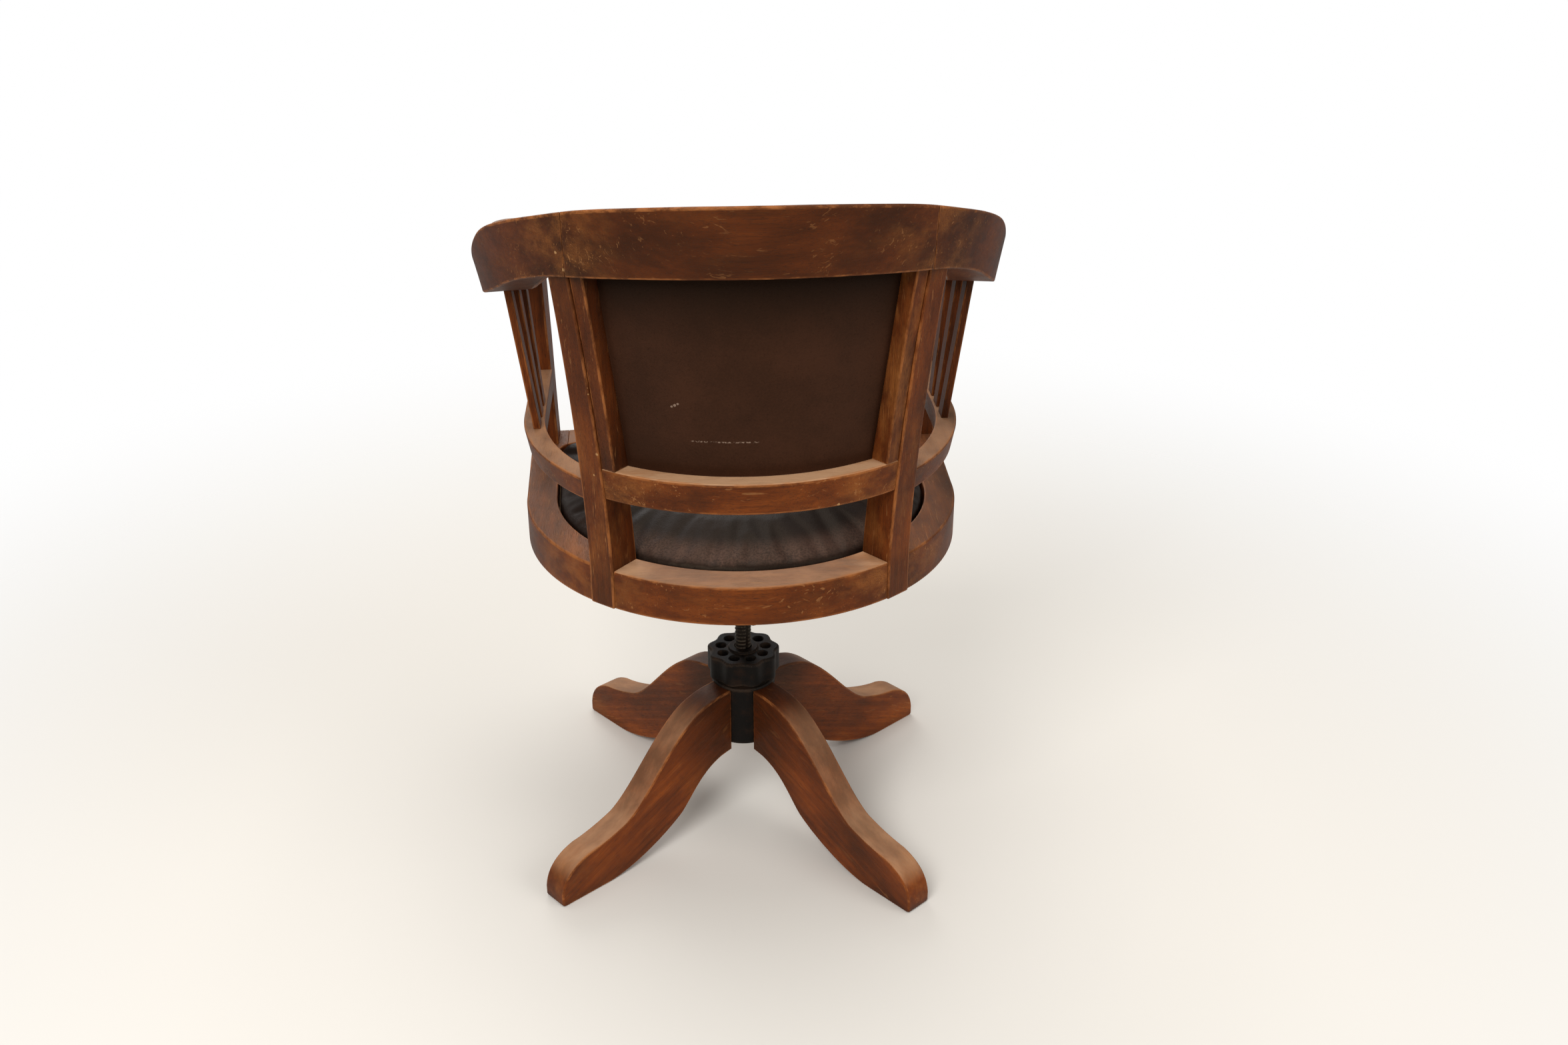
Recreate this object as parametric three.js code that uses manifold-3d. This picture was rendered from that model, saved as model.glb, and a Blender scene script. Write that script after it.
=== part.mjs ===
// Bow-back swivel desk chair: wooden tub frame, leather seat and back, four-legged screw pedestal.
// Millimetres, +Z up. The sitter faces -Y, so the back of the chair is towards +Y.
// The finished group stands with the middle of its footprint box on the origin.
import * as THREE from 'three';
import { mergeVertices } from 'three/addons/utils/BufferGeometryUtils.js';
import Module from 'manifold-3d';

const wasm = await Module();
wasm.setup();

// Fits and cutting allowances
const fitGap = 0.3;          // left between two pieces that touch
const runGap = 0.5;          // radial clearance of the screw in its nut and bushes
const cutOver = 12;          // how far a cutting tool runs past what it cuts
const edgeRound = 2;         // softened arrises of the sawn timber
const roundSteps = 32;       // sides of turned pieces
const boltSteps = 10;        // sides of studs and screws
const arcSteps = 7;          // pieces of each sawn curve
const weldDistance = 1e-4;    // corners closer than this are one corner
const quarterTurn = Math.PI / 2;
const radian = quarterTurn / 90;

// Legs: sawn S-curves, bolted to the column
const legNames = ['leg_rear_left', 'leg_rear_right', 'leg_front_right', 'leg_front_left'];
const legFirstTurn = 45;     // degrees
const baseTurn = -5.8;       // degrees that the base stands turned from the seat
const legReach = 303;        // swivel axis to toe
const legThick = 34;
const legRootTop = 184;
const legRootBottom = 99;
const legShoulderOut = 92;   // where the top line leaves the root
const legShoulderTop = 173;
const legWaistOut = 205;     // hollow above the foot
const legWaistTop = 72;
const legInstepTop = 57;
const legInstepOut = 262;
const toeHeight = 14;
const footLength = 66;       // flat length on the floor
const legArchOut = 118;      // hollow under the leg
const legArchTop = 44;
// Bends of the leg outline: how far out and up each control point lies between the bend's ends
const legArchShares = [0.55, 0.12, 0.72, 0.62];
const legSoleShares = [0.25, 0.5, 0.7, 1];
const legToeShares = [0.08, 0.76];
const legInstepShares = [0.45, 0.2];
const legShinShares = [0.3, 0.17, 0.62, 0.78];
const legShoulderShares = [0.45, 1];

// Column and its guides
const columnRadius = 39;
const columnBottom = 107;
const columnTop = 187;
const columnBore = 15;
const columnRim = 3;
const bushLength = 22;
const studRadius = 5;
const studLength = 62;
const studWallDepth = 18;    // of its length in the column wall
const studHeights = [124, 160];

// Screw, thrust washer and hand wheel
const screwRadius = 10;
const screwBottom = 92;
const screwTopAbove = 40;    // screw end above the underside of the spider boss
const screwTip = 2.5;
const washerThick = 3;
const washerRadius = 36;
const wheelRadius = 45;
const wheelLobes = 9;
const wheelTurn = 25;         // degrees from straight left to its first lobe
const wheelLobeDepth = 4.5;
const wheelHeight = 34;
const wheelPlate = 10;
const wheelWall = 7;
const wheelSkirtLift = 2;
const wheelHoleRadius = 6.2;
const wheelHoleCircle = 28;
const wheelNutRadius = 18;
const wheelNutProud = 3;
const wheelSteps = 72;

// Iron spider under the seat
const spiderThick = 8;
const spiderWidth = 32;
const spiderBossDrop = 46;   // boss length below the arms
const spiderBossRadius = 22;
const spiderBossRoot = 33;
const crossPinRadius = 3.5;
const crossPinDrop = 30;     // below the arms
const crossPinProud = 4;
const screwShank = 2.5;
const screwHeadRadius = 5.5;
const screwHeadHeight = 3;
const screwHeadShare = 0.7;  // width of the head at its outer face
const screwDepth = 20;       // of a wood screw above the spider arm
const frameScrewInset = 19;  // from the outer edge of the seat frame
const rearScrewInset = 24.5;
const spiderEnd = 8;         // of an arm, beyond its screw

// Seat frame
const frameRadius = 250;
const frameBottom = 397;
const frameThick = 45;
const frameWidth = 39;
const sideInsetShare = 0.9;  // the frame is narrower at the sides than at the back
const frameFlare = 5;        // the sides open out by this much at the front
const frameSide = 180;       // straight side, from the swivel axis to the front corner
const frameCorner = 12;
const openingCorner = 26;    // front corners of the opening for the pad
const frameFront = 203;      // swivel axis to the middle of the front rail
const frameArcSteps = 44;
const frameCornerSteps = 4;
const frameBowSteps = 8;
const frontRailHalf = 210;   // half length of the front rail
const boardRebate = 6;
const boardThick = 15;

// Seat pad
const padEdgeGap = 3;
const padRise = 26;          // top of the crown above the frame
const padShoulder = 5;       // where the side starts to roll over, above the frame
// Each level: share of the plan, of the height of the side and of the rise of the crown
const seatPadShares = [
  [0.985, 0, 0],
  [0.995, 0.2, 0],
  [1, 0.6, 0],
  [0.998, 0.85, 0],
  [0.985, 1, 0],
  [0.962, 1, 0.26],
  [0.92, 1, 0.47],
  [0.84, 1, 0.68],
  [0.7, 1, 0.85],
  [0.5, 1, 0.95],
  [0.25, 1, 0.99],
  [0.06, 1, 1],
];

// Rear posts
const postTurn = 39.5;       // degrees either side of straight back
const postWidth = 32;
const postTopWidth = 26;
const postProud = 1.2;       // beyond the seat frame, outside
const postTopDepth = 35;
const postArris = 1.5;
const postSweep = 1.6;       // power of the backward sweep
const postSpread = 7;        // sideways lean at the crest
const postSteps = 7;

// Horseshoe bow: crest in the middle, an arm on each side
const crestBottom = 785.5;
const crestTop = 859;
const armBottom = 680;
const armTop = 707;
const bowLowerHalf = 279.5;    // half width along the lower outer edge
const bowLowerBack = 295;    // swivel axis to the lower outer edge at the back
const bowSideLean = 9;       // the upper edge stands out by this much at the sides
const bowBackLean = 15;      // and by this much at the back
const armFront = 236;        // swivel axis to the front of the arms
const armSpread = 292.5;     // half width at the front, upper edge
const armEdgeLean = 4;
const crestWidth = 45;       // in plan, at the back
const armWidth = 84;         // in plan, at the front
const armCorner = 26;
const crestHalf = 177;       // half length of the crest
const bowArris = 3;
const bowSteps = 34;         // from the middle of the back to the front of an arm
const bowTopShares = [0, 0.01, 0.043, 0.1, 0.195, 0.307, 0.452, 0.67, 0.886, 0.98, 1, 1, 1];
const bowBottomShares = [0, 0.01, 0.043, 0.1, 0.18, 0.34, 0.57, 0.763, 0.886, 0.96, 1, 1, 1];
const bowWidthShares = [0, 0, 0, 0, 0.02, 0.06, 0.12, 0.2, 0.34, 0.62, 0.9, 1, 1];
const bowRollShares = [1, 1, 1, 1, 1, 0.95, 0.8, 0.5, 0.2, 0.05, 0, 0, 0];
const rollStartShare = 0.45;      // across the top, where the crest starts to roll over
const rollStartFallShare = 0.13;  // of its height, already fallen there
const rollEdgeShare = 0.28;       // of its width, in from the inner face
const rollEdgeFallShare = 0.3;
const rollBellyShare = 0.1;       // of its width, in from the inner face
const rollBellyFallShare = 0.62;
const innerEdgeShare = 0.7;       // how far down the inner face of an arm runs
const armEndShares = [0, 0.12, 0.35, 0.65, 1];
const tangentShare = 1e-3;
const dowelRadius = 5;
const dowelLength = 24;
const dowelRise = 18;        // above the underside of the crest at its joints

// Rails between the uprights
const midRailTop = 562;
const midRailHeight = 35;
const midRailRadius = 256.5;
const midRailLean = 3;
const midRailThick = 34;
const sideRailTop = 542;
const sideRailHeight = 26;
const sideRailHalf = 247;
const sideRailBack = 260;
const sideRailLean = 5;
const sideRailThick = 24;
const sideRailStart = 36;    // degrees from straight back, inside the post
const railSteps = 18;

// Stiles beside the posts
const stileWidth = 17;
const stileDepth = 25;
const stileSet = 2;          // behind the post face
const stileTopExtra = 12;    // extra depth at the top

// Back panel and pad
const panelFoot = 239;       // radius of the rear leather at its lower edge
const panelHead = 268;       // radius of the rear leather at its upper edge
const panelLeather = 3;
const panelBoard = 9;
const panelSteps = 20;
const backPadThick = 20;
const backPadCrown = 14;
const backPadEdge = 2;
// The same levels again; the first five lay the underside on the curved board
const backPadShares = [
  [0.08, 0, 0],
  [0.3, 0, 0],
  [0.55, 0, 0],
  [0.8, 0, 0],
  [0.99, 0, 0],
  [1, 0.35, 0],
  [0.995, 0.7, 0],
  [0.97, 0.95, 0],
  [0.92, 1, 0.25],
  [0.82, 1, 0.52],
  [0.65, 1, 0.78],
  [0.4, 1, 0.95],
  [0.08, 1, 1],
];

// Front arm posts
const armPostThick = 32;
const armPostInner = 221;    // swivel axis to the inner face, at the seat
const armPostLean = 9;       // outward, at the arm
const armPostBack = 147;     // swivel axis to the rear edge
const armPostDepth = 44;
const armPostWaist = 63;
const armPostHead = 80;
const armPostWaistShare = 0.5;
const armPostLowerSweep = 1.5;
const armPostUpperSweep = 1.3;
const armPostSteps = 8;

// Slats under the arms
const slatThick = 8;
const slatDepth = 21;
const slatPitch = 34.5;
const slatCount = 3;
const slatFootHalf = 229.5;
const slatHeadHalf = 247;
const slatHeadStep = 4.3;    // the rear slats lean out further by this much each

// Finishes
const finish = (color, roughness, metalness = 0) =>
  new THREE.MeshStandardMaterial({ color, roughness, metalness });
const timber = () => finish('#6b3418', 0.5);
const castIron = () => finish('#17130f', 0.55, 0.6);
const steel = () => finish('#5a564f', 0.4, 0.85);
const leather = () => finish('#33211d', 0.5);
const panelWood = () => finish('#9a7a50', 0.7);

const chair = new THREE.Group();

function add(name, geometry, material) {
  const mesh = new THREE.Mesh(geometry, material);
  mesh.name = name;
  chair.add(mesh);
  return mesh;
}

// Solids and booleans
function solid(geometry) {
  const bare = geometry.clone();
  bare.deleteAttribute('normal');
  bare.deleteAttribute('uv');
  const joined = mergeVertices(bare, weldDistance);
  return new wasm.Manifold(new wasm.Mesh({
    numProp: 3,
    vertProperties: new Float32Array(joined.attributes.position.array),
    triVerts: new Uint32Array(joined.index.array),
  }));
}

function fromSolid(body) {
  const { vertProperties, triVerts } = body.getMesh();
  const geometry = new THREE.BufferGeometry();
  geometry.setAttribute('position', new THREE.BufferAttribute(new Float32Array(vertProperties), 3));
  geometry.setIndex(new THREE.BufferAttribute(new Uint32Array(triVerts), 1));
  geometry.computeVertexNormals();
  return geometry;
}

function cut(geometry, ...tools) {
  let body = solid(geometry);
  for (const tool of tools) body = body.subtract(solid(tool));
  return fromSolid(body);
}

function join(geometry, ...others) {
  let body = solid(geometry);
  for (const other of others) body = body.add(solid(other));
  return fromSolid(body);
}

function keep(geometry, tool) {
  return fromSolid(solid(geometry).intersect(solid(tool)));
}

// Closed body through a row of matching rings, with a flat face at each end.
// The triangles before the ring called middle mirror those after it
function loft(rings, middle = 0) {
  const count = rings[0].length;
  const positions = rings.flat().flatMap((point) => point.toArray());
  const index = [];
  for (let ring = 0; ring + 1 < rings.length; ring += 1) {
    for (let i = 0; i < count; i += 1) {
      const j = (i + 1) % count;
      const here = ring * count;
      const next = here + count;
      if (ring < middle) index.push(here + i, here + j, next + i, here + j, next + j, next + i);
      else index.push(here + i, here + j, next + j, here + i, next + j, next + i);
    }
  }
  const last = (rings.length - 1) * count;
  for (const [a, b, c] of faceTriangles(rings[0])) index.push(a, c, b);
  for (const [a, b, c] of faceTriangles(rings.at(-1))) index.push(last + a, last + b, last + c);
  return facingOut(positions, index);
}

// Triangles of a flat ring, wound the way the ring runs
function faceTriangles(ring) {
  const normal = new THREE.Vector3();
  ring.forEach((point, i) => {
    normal.add(point.clone().cross(ring[(i + 1) % ring.length]));
  });
  normal.normalize();
  const across = ring[1].clone().sub(ring[0]).normalize();
  const up = normal.clone().cross(across);
  const flat = ring.map((point) => new THREE.Vector2(point.dot(across), point.dot(up)));
  return THREE.ShapeUtils.triangulateShape(flat, []);
}

function facingOut(positions, index) {
  const at = (i) => new THREE.Vector3().fromArray(positions, i * 3);
  let volume = 0;
  for (let i = 0; i < index.length; i += 3) {
    volume += at(index[i]).dot(at(index[i + 1]).cross(at(index[i + 2])));
  }
  const order = volume < 0 ? index.toReversed() : index;
  const geometry = new THREE.BufferGeometry();
  geometry.setAttribute('position', new THREE.Float32BufferAttribute(positions, 3));
  geometry.setIndex(order);
  geometry.computeVertexNormals();
  return geometry;
}

// Simple shapes
function outline(points) {
  return new THREE.Shape(points.map(([x, y]) => new THREE.Vector2(x, y)));
}

function slab(shape, bottom, height, round = 0, curveSegments = arcSteps) {
  const geometry = new THREE.ExtrudeGeometry(shape, {
    depth: height - 2 * round,
    bevelEnabled: round > 0,
    bevelSegments: 1,
    bevelSize: round,
    bevelOffset: -round,
    bevelThickness: round,
    curveSegments,
  });
  return geometry.translate(0, 0, bottom + round);
}

function block(x0, x1, y0, y1, z0, z1) {
  const geometry = new THREE.BoxGeometry(x1 - x0, y1 - y0, z1 - z0);
  return geometry.translate((x0 + x1) / 2, (y0 + y1) / 2, (z0 + z1) / 2);
}

function rod(radius, bottom, top, steps = boltSteps) {
  const geometry = new THREE.CylinderGeometry(radius, radius, top - bottom, steps);
  return geometry.rotateX(quarterTurn).translate(0, 0, (bottom + top) / 2);
}

function turned(profile, steps = roundSteps) {
  const points = profile.map(([radius, height]) => new THREE.Vector2(radius, height));
  return new THREE.LatheGeometry(points, steps).rotateX(quarterTurn);
}

function tube(inner, outer, bottom, top, steps = roundSteps) {
  return turned([[inner, bottom], [outer, bottom], [outer, top], [inner, top], [inner, bottom]], steps);
}

const mix = THREE.MathUtils.lerp;

function mirrored(geometry) {
  const copy = geometry.clone().scale(-1, 1, 1);
  copy.setIndex(Array.from(copy.index.array).reverse());
  copy.computeVertexNormals();
  return copy;
}

// Value of a row of evenly spaced shares at u, smoothly
function along(shares, u) {
  const curve = new THREE.SplineCurve(shares.map((share, i) => new THREE.Vector2(i, share)));
  return curve.getPoint(u).y;
}

// Legs, column and studs
function bend(shape, from, to, shares) {
  const controls = shares.map((share, i) => mix(from[i % 2], to[i % 2], share));
  if (shares.length === 2) shape.quadraticCurveTo(...controls, ...to);
  else shape.bezierCurveTo(...controls, ...to);
}

function legProfile() {
  const rootFoot = [columnRadius, legRootBottom];
  const arch = [legArchOut, legArchTop];
  const heel = [legReach - footLength, 0];
  const toe = [legReach, toeHeight];
  const instep = [legInstepOut, legInstepTop];
  const waist = [legWaistOut, legWaistTop];
  const shoulder = [legShoulderOut, legShoulderTop];
  const rootHead = [columnRadius, legRootTop];
  const shape = new THREE.Shape();
  shape.moveTo(0, legRootBottom);
  shape.lineTo(...rootFoot);
  bend(shape, rootFoot, arch, legArchShares);
  bend(shape, arch, heel, legSoleShares);
  shape.lineTo(legReach - edgeRound, 0);
  shape.lineTo(legReach, edgeRound);
  shape.lineTo(...toe);
  bend(shape, toe, instep, legToeShares);
  bend(shape, instep, waist, legInstepShares);
  bend(shape, waist, shoulder, legShinShares);
  bend(shape, shoulder, rootHead, legShoulderShares);
  shape.lineTo(0, legRootTop);
  return shape;
}

function studPlaces() {
  return studHeights.map((height) => [columnRadius - studWallDepth, height]);
}

function stud(radius, from, height, length) {
  return rod(radius, from, from + length).rotateY(quarterTurn).translate(0, 0, height);
}

const legTurns = legNames.map((_, i) =>
  (legFirstTurn + baseTurn) * radian + (i * 4 * quarterTurn) / legNames.length);

function makeLegs() {
  const profile = slab(legProfile(), -legThick / 2, legThick, edgeRound).rotateX(quarterTurn);
  const shell = rod(columnRadius + fitGap, 0, legRootTop + cutOver, roundSteps);
  const bores = studPlaces().map(([from, height]) =>
    stud(studRadius + fitGap, from, height, studLength + fitGap));
  const leg = cut(profile, shell, ...bores);
  legTurns.forEach((turn, i) => add(legNames[i], leg.clone().rotateZ(turn), timber()));
}

function makeColumn() {
  const body = turned([
    [columnBore, columnBottom],
    [columnRadius - columnRim, columnBottom],
    [columnRadius, columnBottom + columnRim],
    [columnRadius, columnTop - columnRim],
    [columnRadius - columnRim, columnTop],
    [columnBore, columnTop],
    [columnBore, columnBottom],
  ]);
  const bores = [];
  const boreLength = studWallDepth + cutOver;
  legTurns.forEach((turn, leg) => {
    studPlaces().forEach(([from, height], row) => {
      bores.push(stud(studRadius + fitGap, from - fitGap, height, boreLength).rotateZ(turn));
      const body = stud(studRadius, from, height, studLength);
      add(`leg_stud_${leg + 1}_${row + 1}`, body.rotateZ(turn), steel());
    });
  });
  add('pedestal_column', cut(body, ...bores), castIron());
  const bushInner = screwRadius + runGap;
  const bushOuter = columnBore - fitGap;
  add('screw_bush_upper', tube(bushInner, bushOuter, columnTop - bushLength, columnTop), steel());
  add('screw_bush_lower', tube(bushInner, bushOuter, columnBottom, columnBottom + bushLength), steel());
}

// Screw, washer, hand wheel
const washerBottom = columnTop + fitGap;
const wheelBottom = washerBottom + washerThick + fitGap;
const wheelTop = wheelBottom + wheelHeight;
const spiderTop = frameBottom - fitGap;
const spiderBottom = spiderTop - spiderThick;
const bossBottom = spiderBottom - spiderBossDrop;
const screwTop = bossBottom + screwTopAbove;
const crossPinHeight = spiderBottom - crossPinDrop;

function makeScrew() {
  const body = turned([
    [0, screwBottom],
    [screwRadius - screwTip, screwBottom],
    [screwRadius, screwBottom + screwTip],
    [screwRadius, screwTop - screwTip],
    [screwRadius - screwTip, screwTop],
    [0, screwTop],
  ]);
  const pinHole = stud(crossPinRadius + fitGap, -screwRadius - cutOver, crossPinHeight,
    2 * (screwRadius + cutOver));
  add('height_screw', cut(body, pinHole), steel());
  add('thrust_washer', tube(screwRadius + runGap, washerRadius, washerBottom, washerBottom + washerThick),
    steel());
}

function lobedOutline(radius) {
  const points = [];
  for (let i = 0; i < wheelSteps; i += 1) {
    const angle = (i * 2 * Math.PI) / wheelSteps;
    const reach = radius - (wheelLobeDepth * (1 - Math.cos(wheelLobes * angle))) / 2;
    points.push([reach * Math.cos(angle), reach * Math.sin(angle)]);
  }
  return outline(points);
}

function makeWheel() {
  const skirtBottom = wheelBottom + wheelSkirtLift;
  const body = slab(lobedOutline(wheelRadius), skirtBottom, wheelTop - skirtBottom, edgeRound);
  const hollow = slab(lobedOutline(wheelRadius - wheelWall), skirtBottom - cutOver,
    wheelTop - wheelPlate - skirtBottom + cutOver);
  const nut = rod(wheelNutRadius, wheelBottom, wheelTop + wheelNutProud, roundSteps);
  const bore = rod(screwRadius + runGap, wheelBottom - cutOver, wheelTop + cutOver, roundSteps);
  const holes = Array.from({ length: wheelLobes }, (_, i) => {
    const hole = rod(wheelHoleRadius, wheelBottom + wheelSkirtLift, wheelTop + cutOver);
    return hole.translate(wheelHoleCircle, 0, 0).rotateZ((i * 2 * Math.PI) / wheelLobes);
  });
  const cored = join(cut(body, hollow), nut);
  add('hand_wheel', cut(cored, bore, ...holes).rotateZ(wheelTurn * radian), castIron());
}

// Plan of the seat frame, drawn in by inset from its outer edge
function framePlan(inset, corner = openingCorner) {
  const back = frameRadius - inset;
  const sideInset = inset * sideInsetShare;
  const half = frameRadius - sideInset;
  const side = frameRadius + frameFlare - sideInset;
  const cornerFront = frameSide + frameCorner - inset;
  const bow = frameFront - frameSide - frameCorner;
  const points = [];
  for (let i = 0; i <= frameArcSteps; i += 1) {
    const angle = (i * Math.PI) / frameArcSteps;
    points.push([half * Math.cos(angle), back * Math.sin(angle)]);
  }
  const turn = [];
  for (let i = 0; i <= frameCornerSteps; i += 1) {
    const angle = (i * Math.PI) / 2 / frameCornerSteps;
    const out = corner * (Math.cos(angle) - 1);
    const forward = corner * (Math.sin(angle) - 1);
    turn.push([side + out, -(cornerFront + forward)]);
  }
  for (const [x, y] of turn) points.push([-x, y]);
  const reach = side - corner;
  for (let i = 1; i < frameBowSteps; i += 1) {
    const x = mix(-reach, reach, i / frameBowSteps);
    points.push([x, -(cornerFront + bow * (1 - (x / reach) ** 2))]);
  }
  for (const [x, y] of turn.reverse()) points.push([x, y]);
  return points;
}

const frameTop = frameBottom + frameThick;
const boardTop = frameBottom + boardThick;
const boardInset = frameWidth - boardRebate;

// Wood screws into the seat frame, one through the end of each spider arm: left, rear, right, front
const seatScrewRadii = [
  frameRadius - frameScrewInset,
  frameRadius - rearScrewInset,
  frameRadius - frameScrewInset,
  frameFront - frameScrewInset,
];

function seatScrews() {
  return seatScrewRadii.map((out, i) => [out * Math.cos(i * quarterTurn), out * Math.sin(i * quarterTurn)]);
}

function makeSeatFrame() {
  const opening = slab(outline(framePlan(frameWidth)), frameBottom - cutOver, frameThick + 2 * cutOver);
  const rebate = slab(outline(framePlan(boardInset - fitGap)), frameBottom - cutOver,
    boardThick + cutOver + fitGap);
  const pilots = seatScrews().map(([x, y]) =>
    rod(screwShank + fitGap, frameBottom - cutOver, frameBottom + screwDepth + fitGap).translate(x, y, 0));
  const blank = slab(outline(framePlan(0, frameCorner)), frameBottom, frameThick, edgeRound);
  const ring = cut(blank, opening, rebate, ...pilots, uprightBlock(1), uprightBlock(-1));
  const far = frameRadius + frameFlare + cutOver;
  const low = frameBottom - cutOver;
  const high = frameTop + cutOver;
  const behind = far * Math.cos(postTurn * radian);
  const aside = far * Math.sin(postTurn * radian);
  const wedgeEdge = [[0, 0], [aside, behind], [aside, 2 * far], [-aside, 2 * far], [-aside, behind]];
  const wedge = slab(outline(wedgeEdge), low, high - low);
  add('seat_rail_rear', keep(ring, wedge), timber());
  const clearOfSides = -frameSide / 2;
  const frontTool = (half) => block(-half, half, -far, clearOfSides, low, high);
  add('seat_rail_front', keep(ring, frontTool(frontRailHalf - fitGap / 2)), timber());
  const sides = cut(ring, wedge, frontTool(frontRailHalf + fitGap / 2));
  add('seat_rail_left', keep(sides, block(0, far, -far, far, low, high)), timber());
  add('seat_rail_right', keep(sides, block(-far, 0, -far, far, low, high)), timber());
  const board = slab(outline(framePlan(boardInset)), frameBottom, boardThick);
  add('seat_board', cut(board, uprightBlock(1), uprightBlock(-1)), panelWood());
}

function makeSpider() {
  const arms = seatScrewRadii.map((out, i) => {
    const arm = block(0, out + spiderEnd, -spiderWidth / 2, spiderWidth / 2, spiderBottom, spiderTop);
    return arm.rotateZ(i * quarterTurn);
  });
  const boss = turned([[0, bossBottom], [spiderBossRadius, bossBottom],
    [spiderBossRadius, crossPinHeight + 2 * crossPinRadius], [spiderBossRoot, spiderBottom],
    [spiderBossRoot, spiderTop], [0, spiderTop]]);
  const socket = rod(screwRadius + fitGap, bossBottom - cutOver, screwTop + fitGap, roundSteps);
  const pinReach = spiderBossRadius + crossPinProud;
  const holeReach = pinReach + cutOver;
  const pinHole = stud(crossPinRadius + fitGap, -holeReach, crossPinHeight, 2 * holeReach);
  const holes = seatScrews().map(([x, y]) =>
    rod(screwShank + fitGap, spiderBottom - cutOver, spiderTop + cutOver).translate(x, y, 0));
  add('seat_spider', cut(join(...arms, boss), socket, pinHole, ...holes), castIron());
  add('screw_cross_pin', stud(crossPinRadius, -pinReach, crossPinHeight, 2 * pinReach), steel());
  const underHead = spiderBottom - fitGap;
  const fixing = turned([
    [0, underHead - screwHeadHeight],
    [screwHeadRadius * screwHeadShare, underHead - screwHeadHeight],
    [screwHeadRadius, underHead],
    [screwShank, underHead],
    [screwShank, frameBottom + screwDepth],
    [0, frameBottom + screwDepth],
  ], boltSteps);
  seatScrews().forEach(([x, y], i) =>
    add(`seat_screw_${i + 1}`, fixing.clone().translate(x, y, 0), steel()));
}

// Cushion: a closed outline drawn in level by level, from its underside to its crown
function cushion(edge, shares, side, crown, place) {
  return loft(shares.map(([plan, up, over]) =>
    edge.map(([u, v]) => place(u * plan, v * plan, side * up + crown * over))));
}

function makeSeatPad() {
  const inset = frameWidth + padEdgeGap;
  const plan = framePlan(inset);
  const middle = (frameRadius - frameFront) / 2;
  const edge = plan.map(([x, y]) => [x, y - middle]);
  const bottom = boardTop + fitGap;
  const side = frameTop + padShoulder - bottom;
  const place = (u, v, h) => new THREE.Vector3(u, v + middle, bottom + h);
  add('seat_pad', cushion(edge, seatPadShares, side, padRise - padShoulder, place), leather());
}

// Rear uprights: a post and the stile on its inner side share one sweep
function sweepShare(height) {
  const share = (height - frameTop) / (crestBottom - frameTop);
  return share > 0 ? share : 0;
}

const postFoot = frameRadius + postProud;
const postDepth = frameWidth + postProud;
const postHeadRadius = Math.hypot(bowLowerHalf * Math.sin(postTurn * radian),
  bowLowerBack * Math.cos(postTurn * radian)) - bowArris;

function postFace(height) {
  return mix(postFoot, postHeadRadius, sweepShare(height) ** postSweep);
}

function postHalf(height) {
  return mix(postWidth, postTopWidth, sweepShare(height)) / 2;
}

function postDeep(height) {
  return mix(postDepth, postTopDepth, sweepShare(height));
}

function postLean(height) {
  return postSpread * sweepShare(height);
}

// Point at a radius and a sideways distance in the frame of a post; side is 1 for left, -1 for right
function postPoint(side, radius, across, height) {
  const angle = postTurn * radian;
  const out = across + postLean(height);
  const x = radius * Math.sin(angle) + out * Math.cos(angle);
  const y = radius * Math.cos(angle) - out * Math.sin(angle);
  return new THREE.Vector3(side * x, y, height);
}

function uprightRing(side, height, inner, outer, from, to, arris) {
  const corners = arris === 0 ? [[inner, from], [outer, from], [outer, to], [inner, to]] : [
    [inner, from + arris], [inner + arris, from], [outer - arris, from], [outer, from + arris],
    [outer, to - arris], [outer - arris, to], [inner + arris, to], [inner, to - arris],
  ];
  return corners.map(([radius, across]) => postPoint(side, radius, across, height));
}

function uprightHeights(bottom, top) {
  return Array.from({ length: postSteps + 1 }, (_, i) => mix(bottom, top, i / postSteps));
}

function postSolid(side) {
  const heights = [frameBottom, ...uprightHeights(frameTop, crestBottom)];
  return loft(heights.map((height) => {
    const face = postFace(height);
    const half = postHalf(height);
    return uprightRing(side, height, face - postDeep(height), face, -half, half, postArris);
  }));
}

// Room that a post takes out of its neighbours, widened towards the back panel or the arm
function uprightBlock(side, inward = 0, outward = 0, deeper = 0) {
  const heights = [frameBottom - cutOver, ...uprightHeights(frameTop, crestBottom + cutOver)];
  return loft(heights.map((height) => {
    const half = postHalf(height) + fitGap;
    const face = postFace(height);
    const inner = face - postDeep(height) - fitGap - deeper;
    return uprightRing(side, height, inner, face + 2 * cutOver, -half - inward, half + outward, 0);
  }));
}

function stileSolid(side) {
  const heights = uprightHeights(midRailTop + fitGap, crestBottom);
  return loft(heights.map((height) => {
    const outer = postFace(height) - stileSet;
    const depth = stileDepth + stileTopExtra * sweepShare(height);
    const near = -postHalf(height) - fitGap;
    return uprightRing(side, height, outer - depth, outer, near - stileWidth, near, postArris);
  }));
}

// Horseshoe bow. u runs from -1 at the right arm's front, through 0 at the back, to 1 at the left
const bowUpperHalf = bowLowerHalf + bowSideLean;
const bowUpperBack = bowLowerBack + bowBackLean;
const bowQuarter = quarterTurn * Math.sqrt((bowUpperHalf ** 2 + bowUpperBack ** 2) / 2);
const bowBend = bowQuarter / (bowQuarter + armFront);

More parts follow.
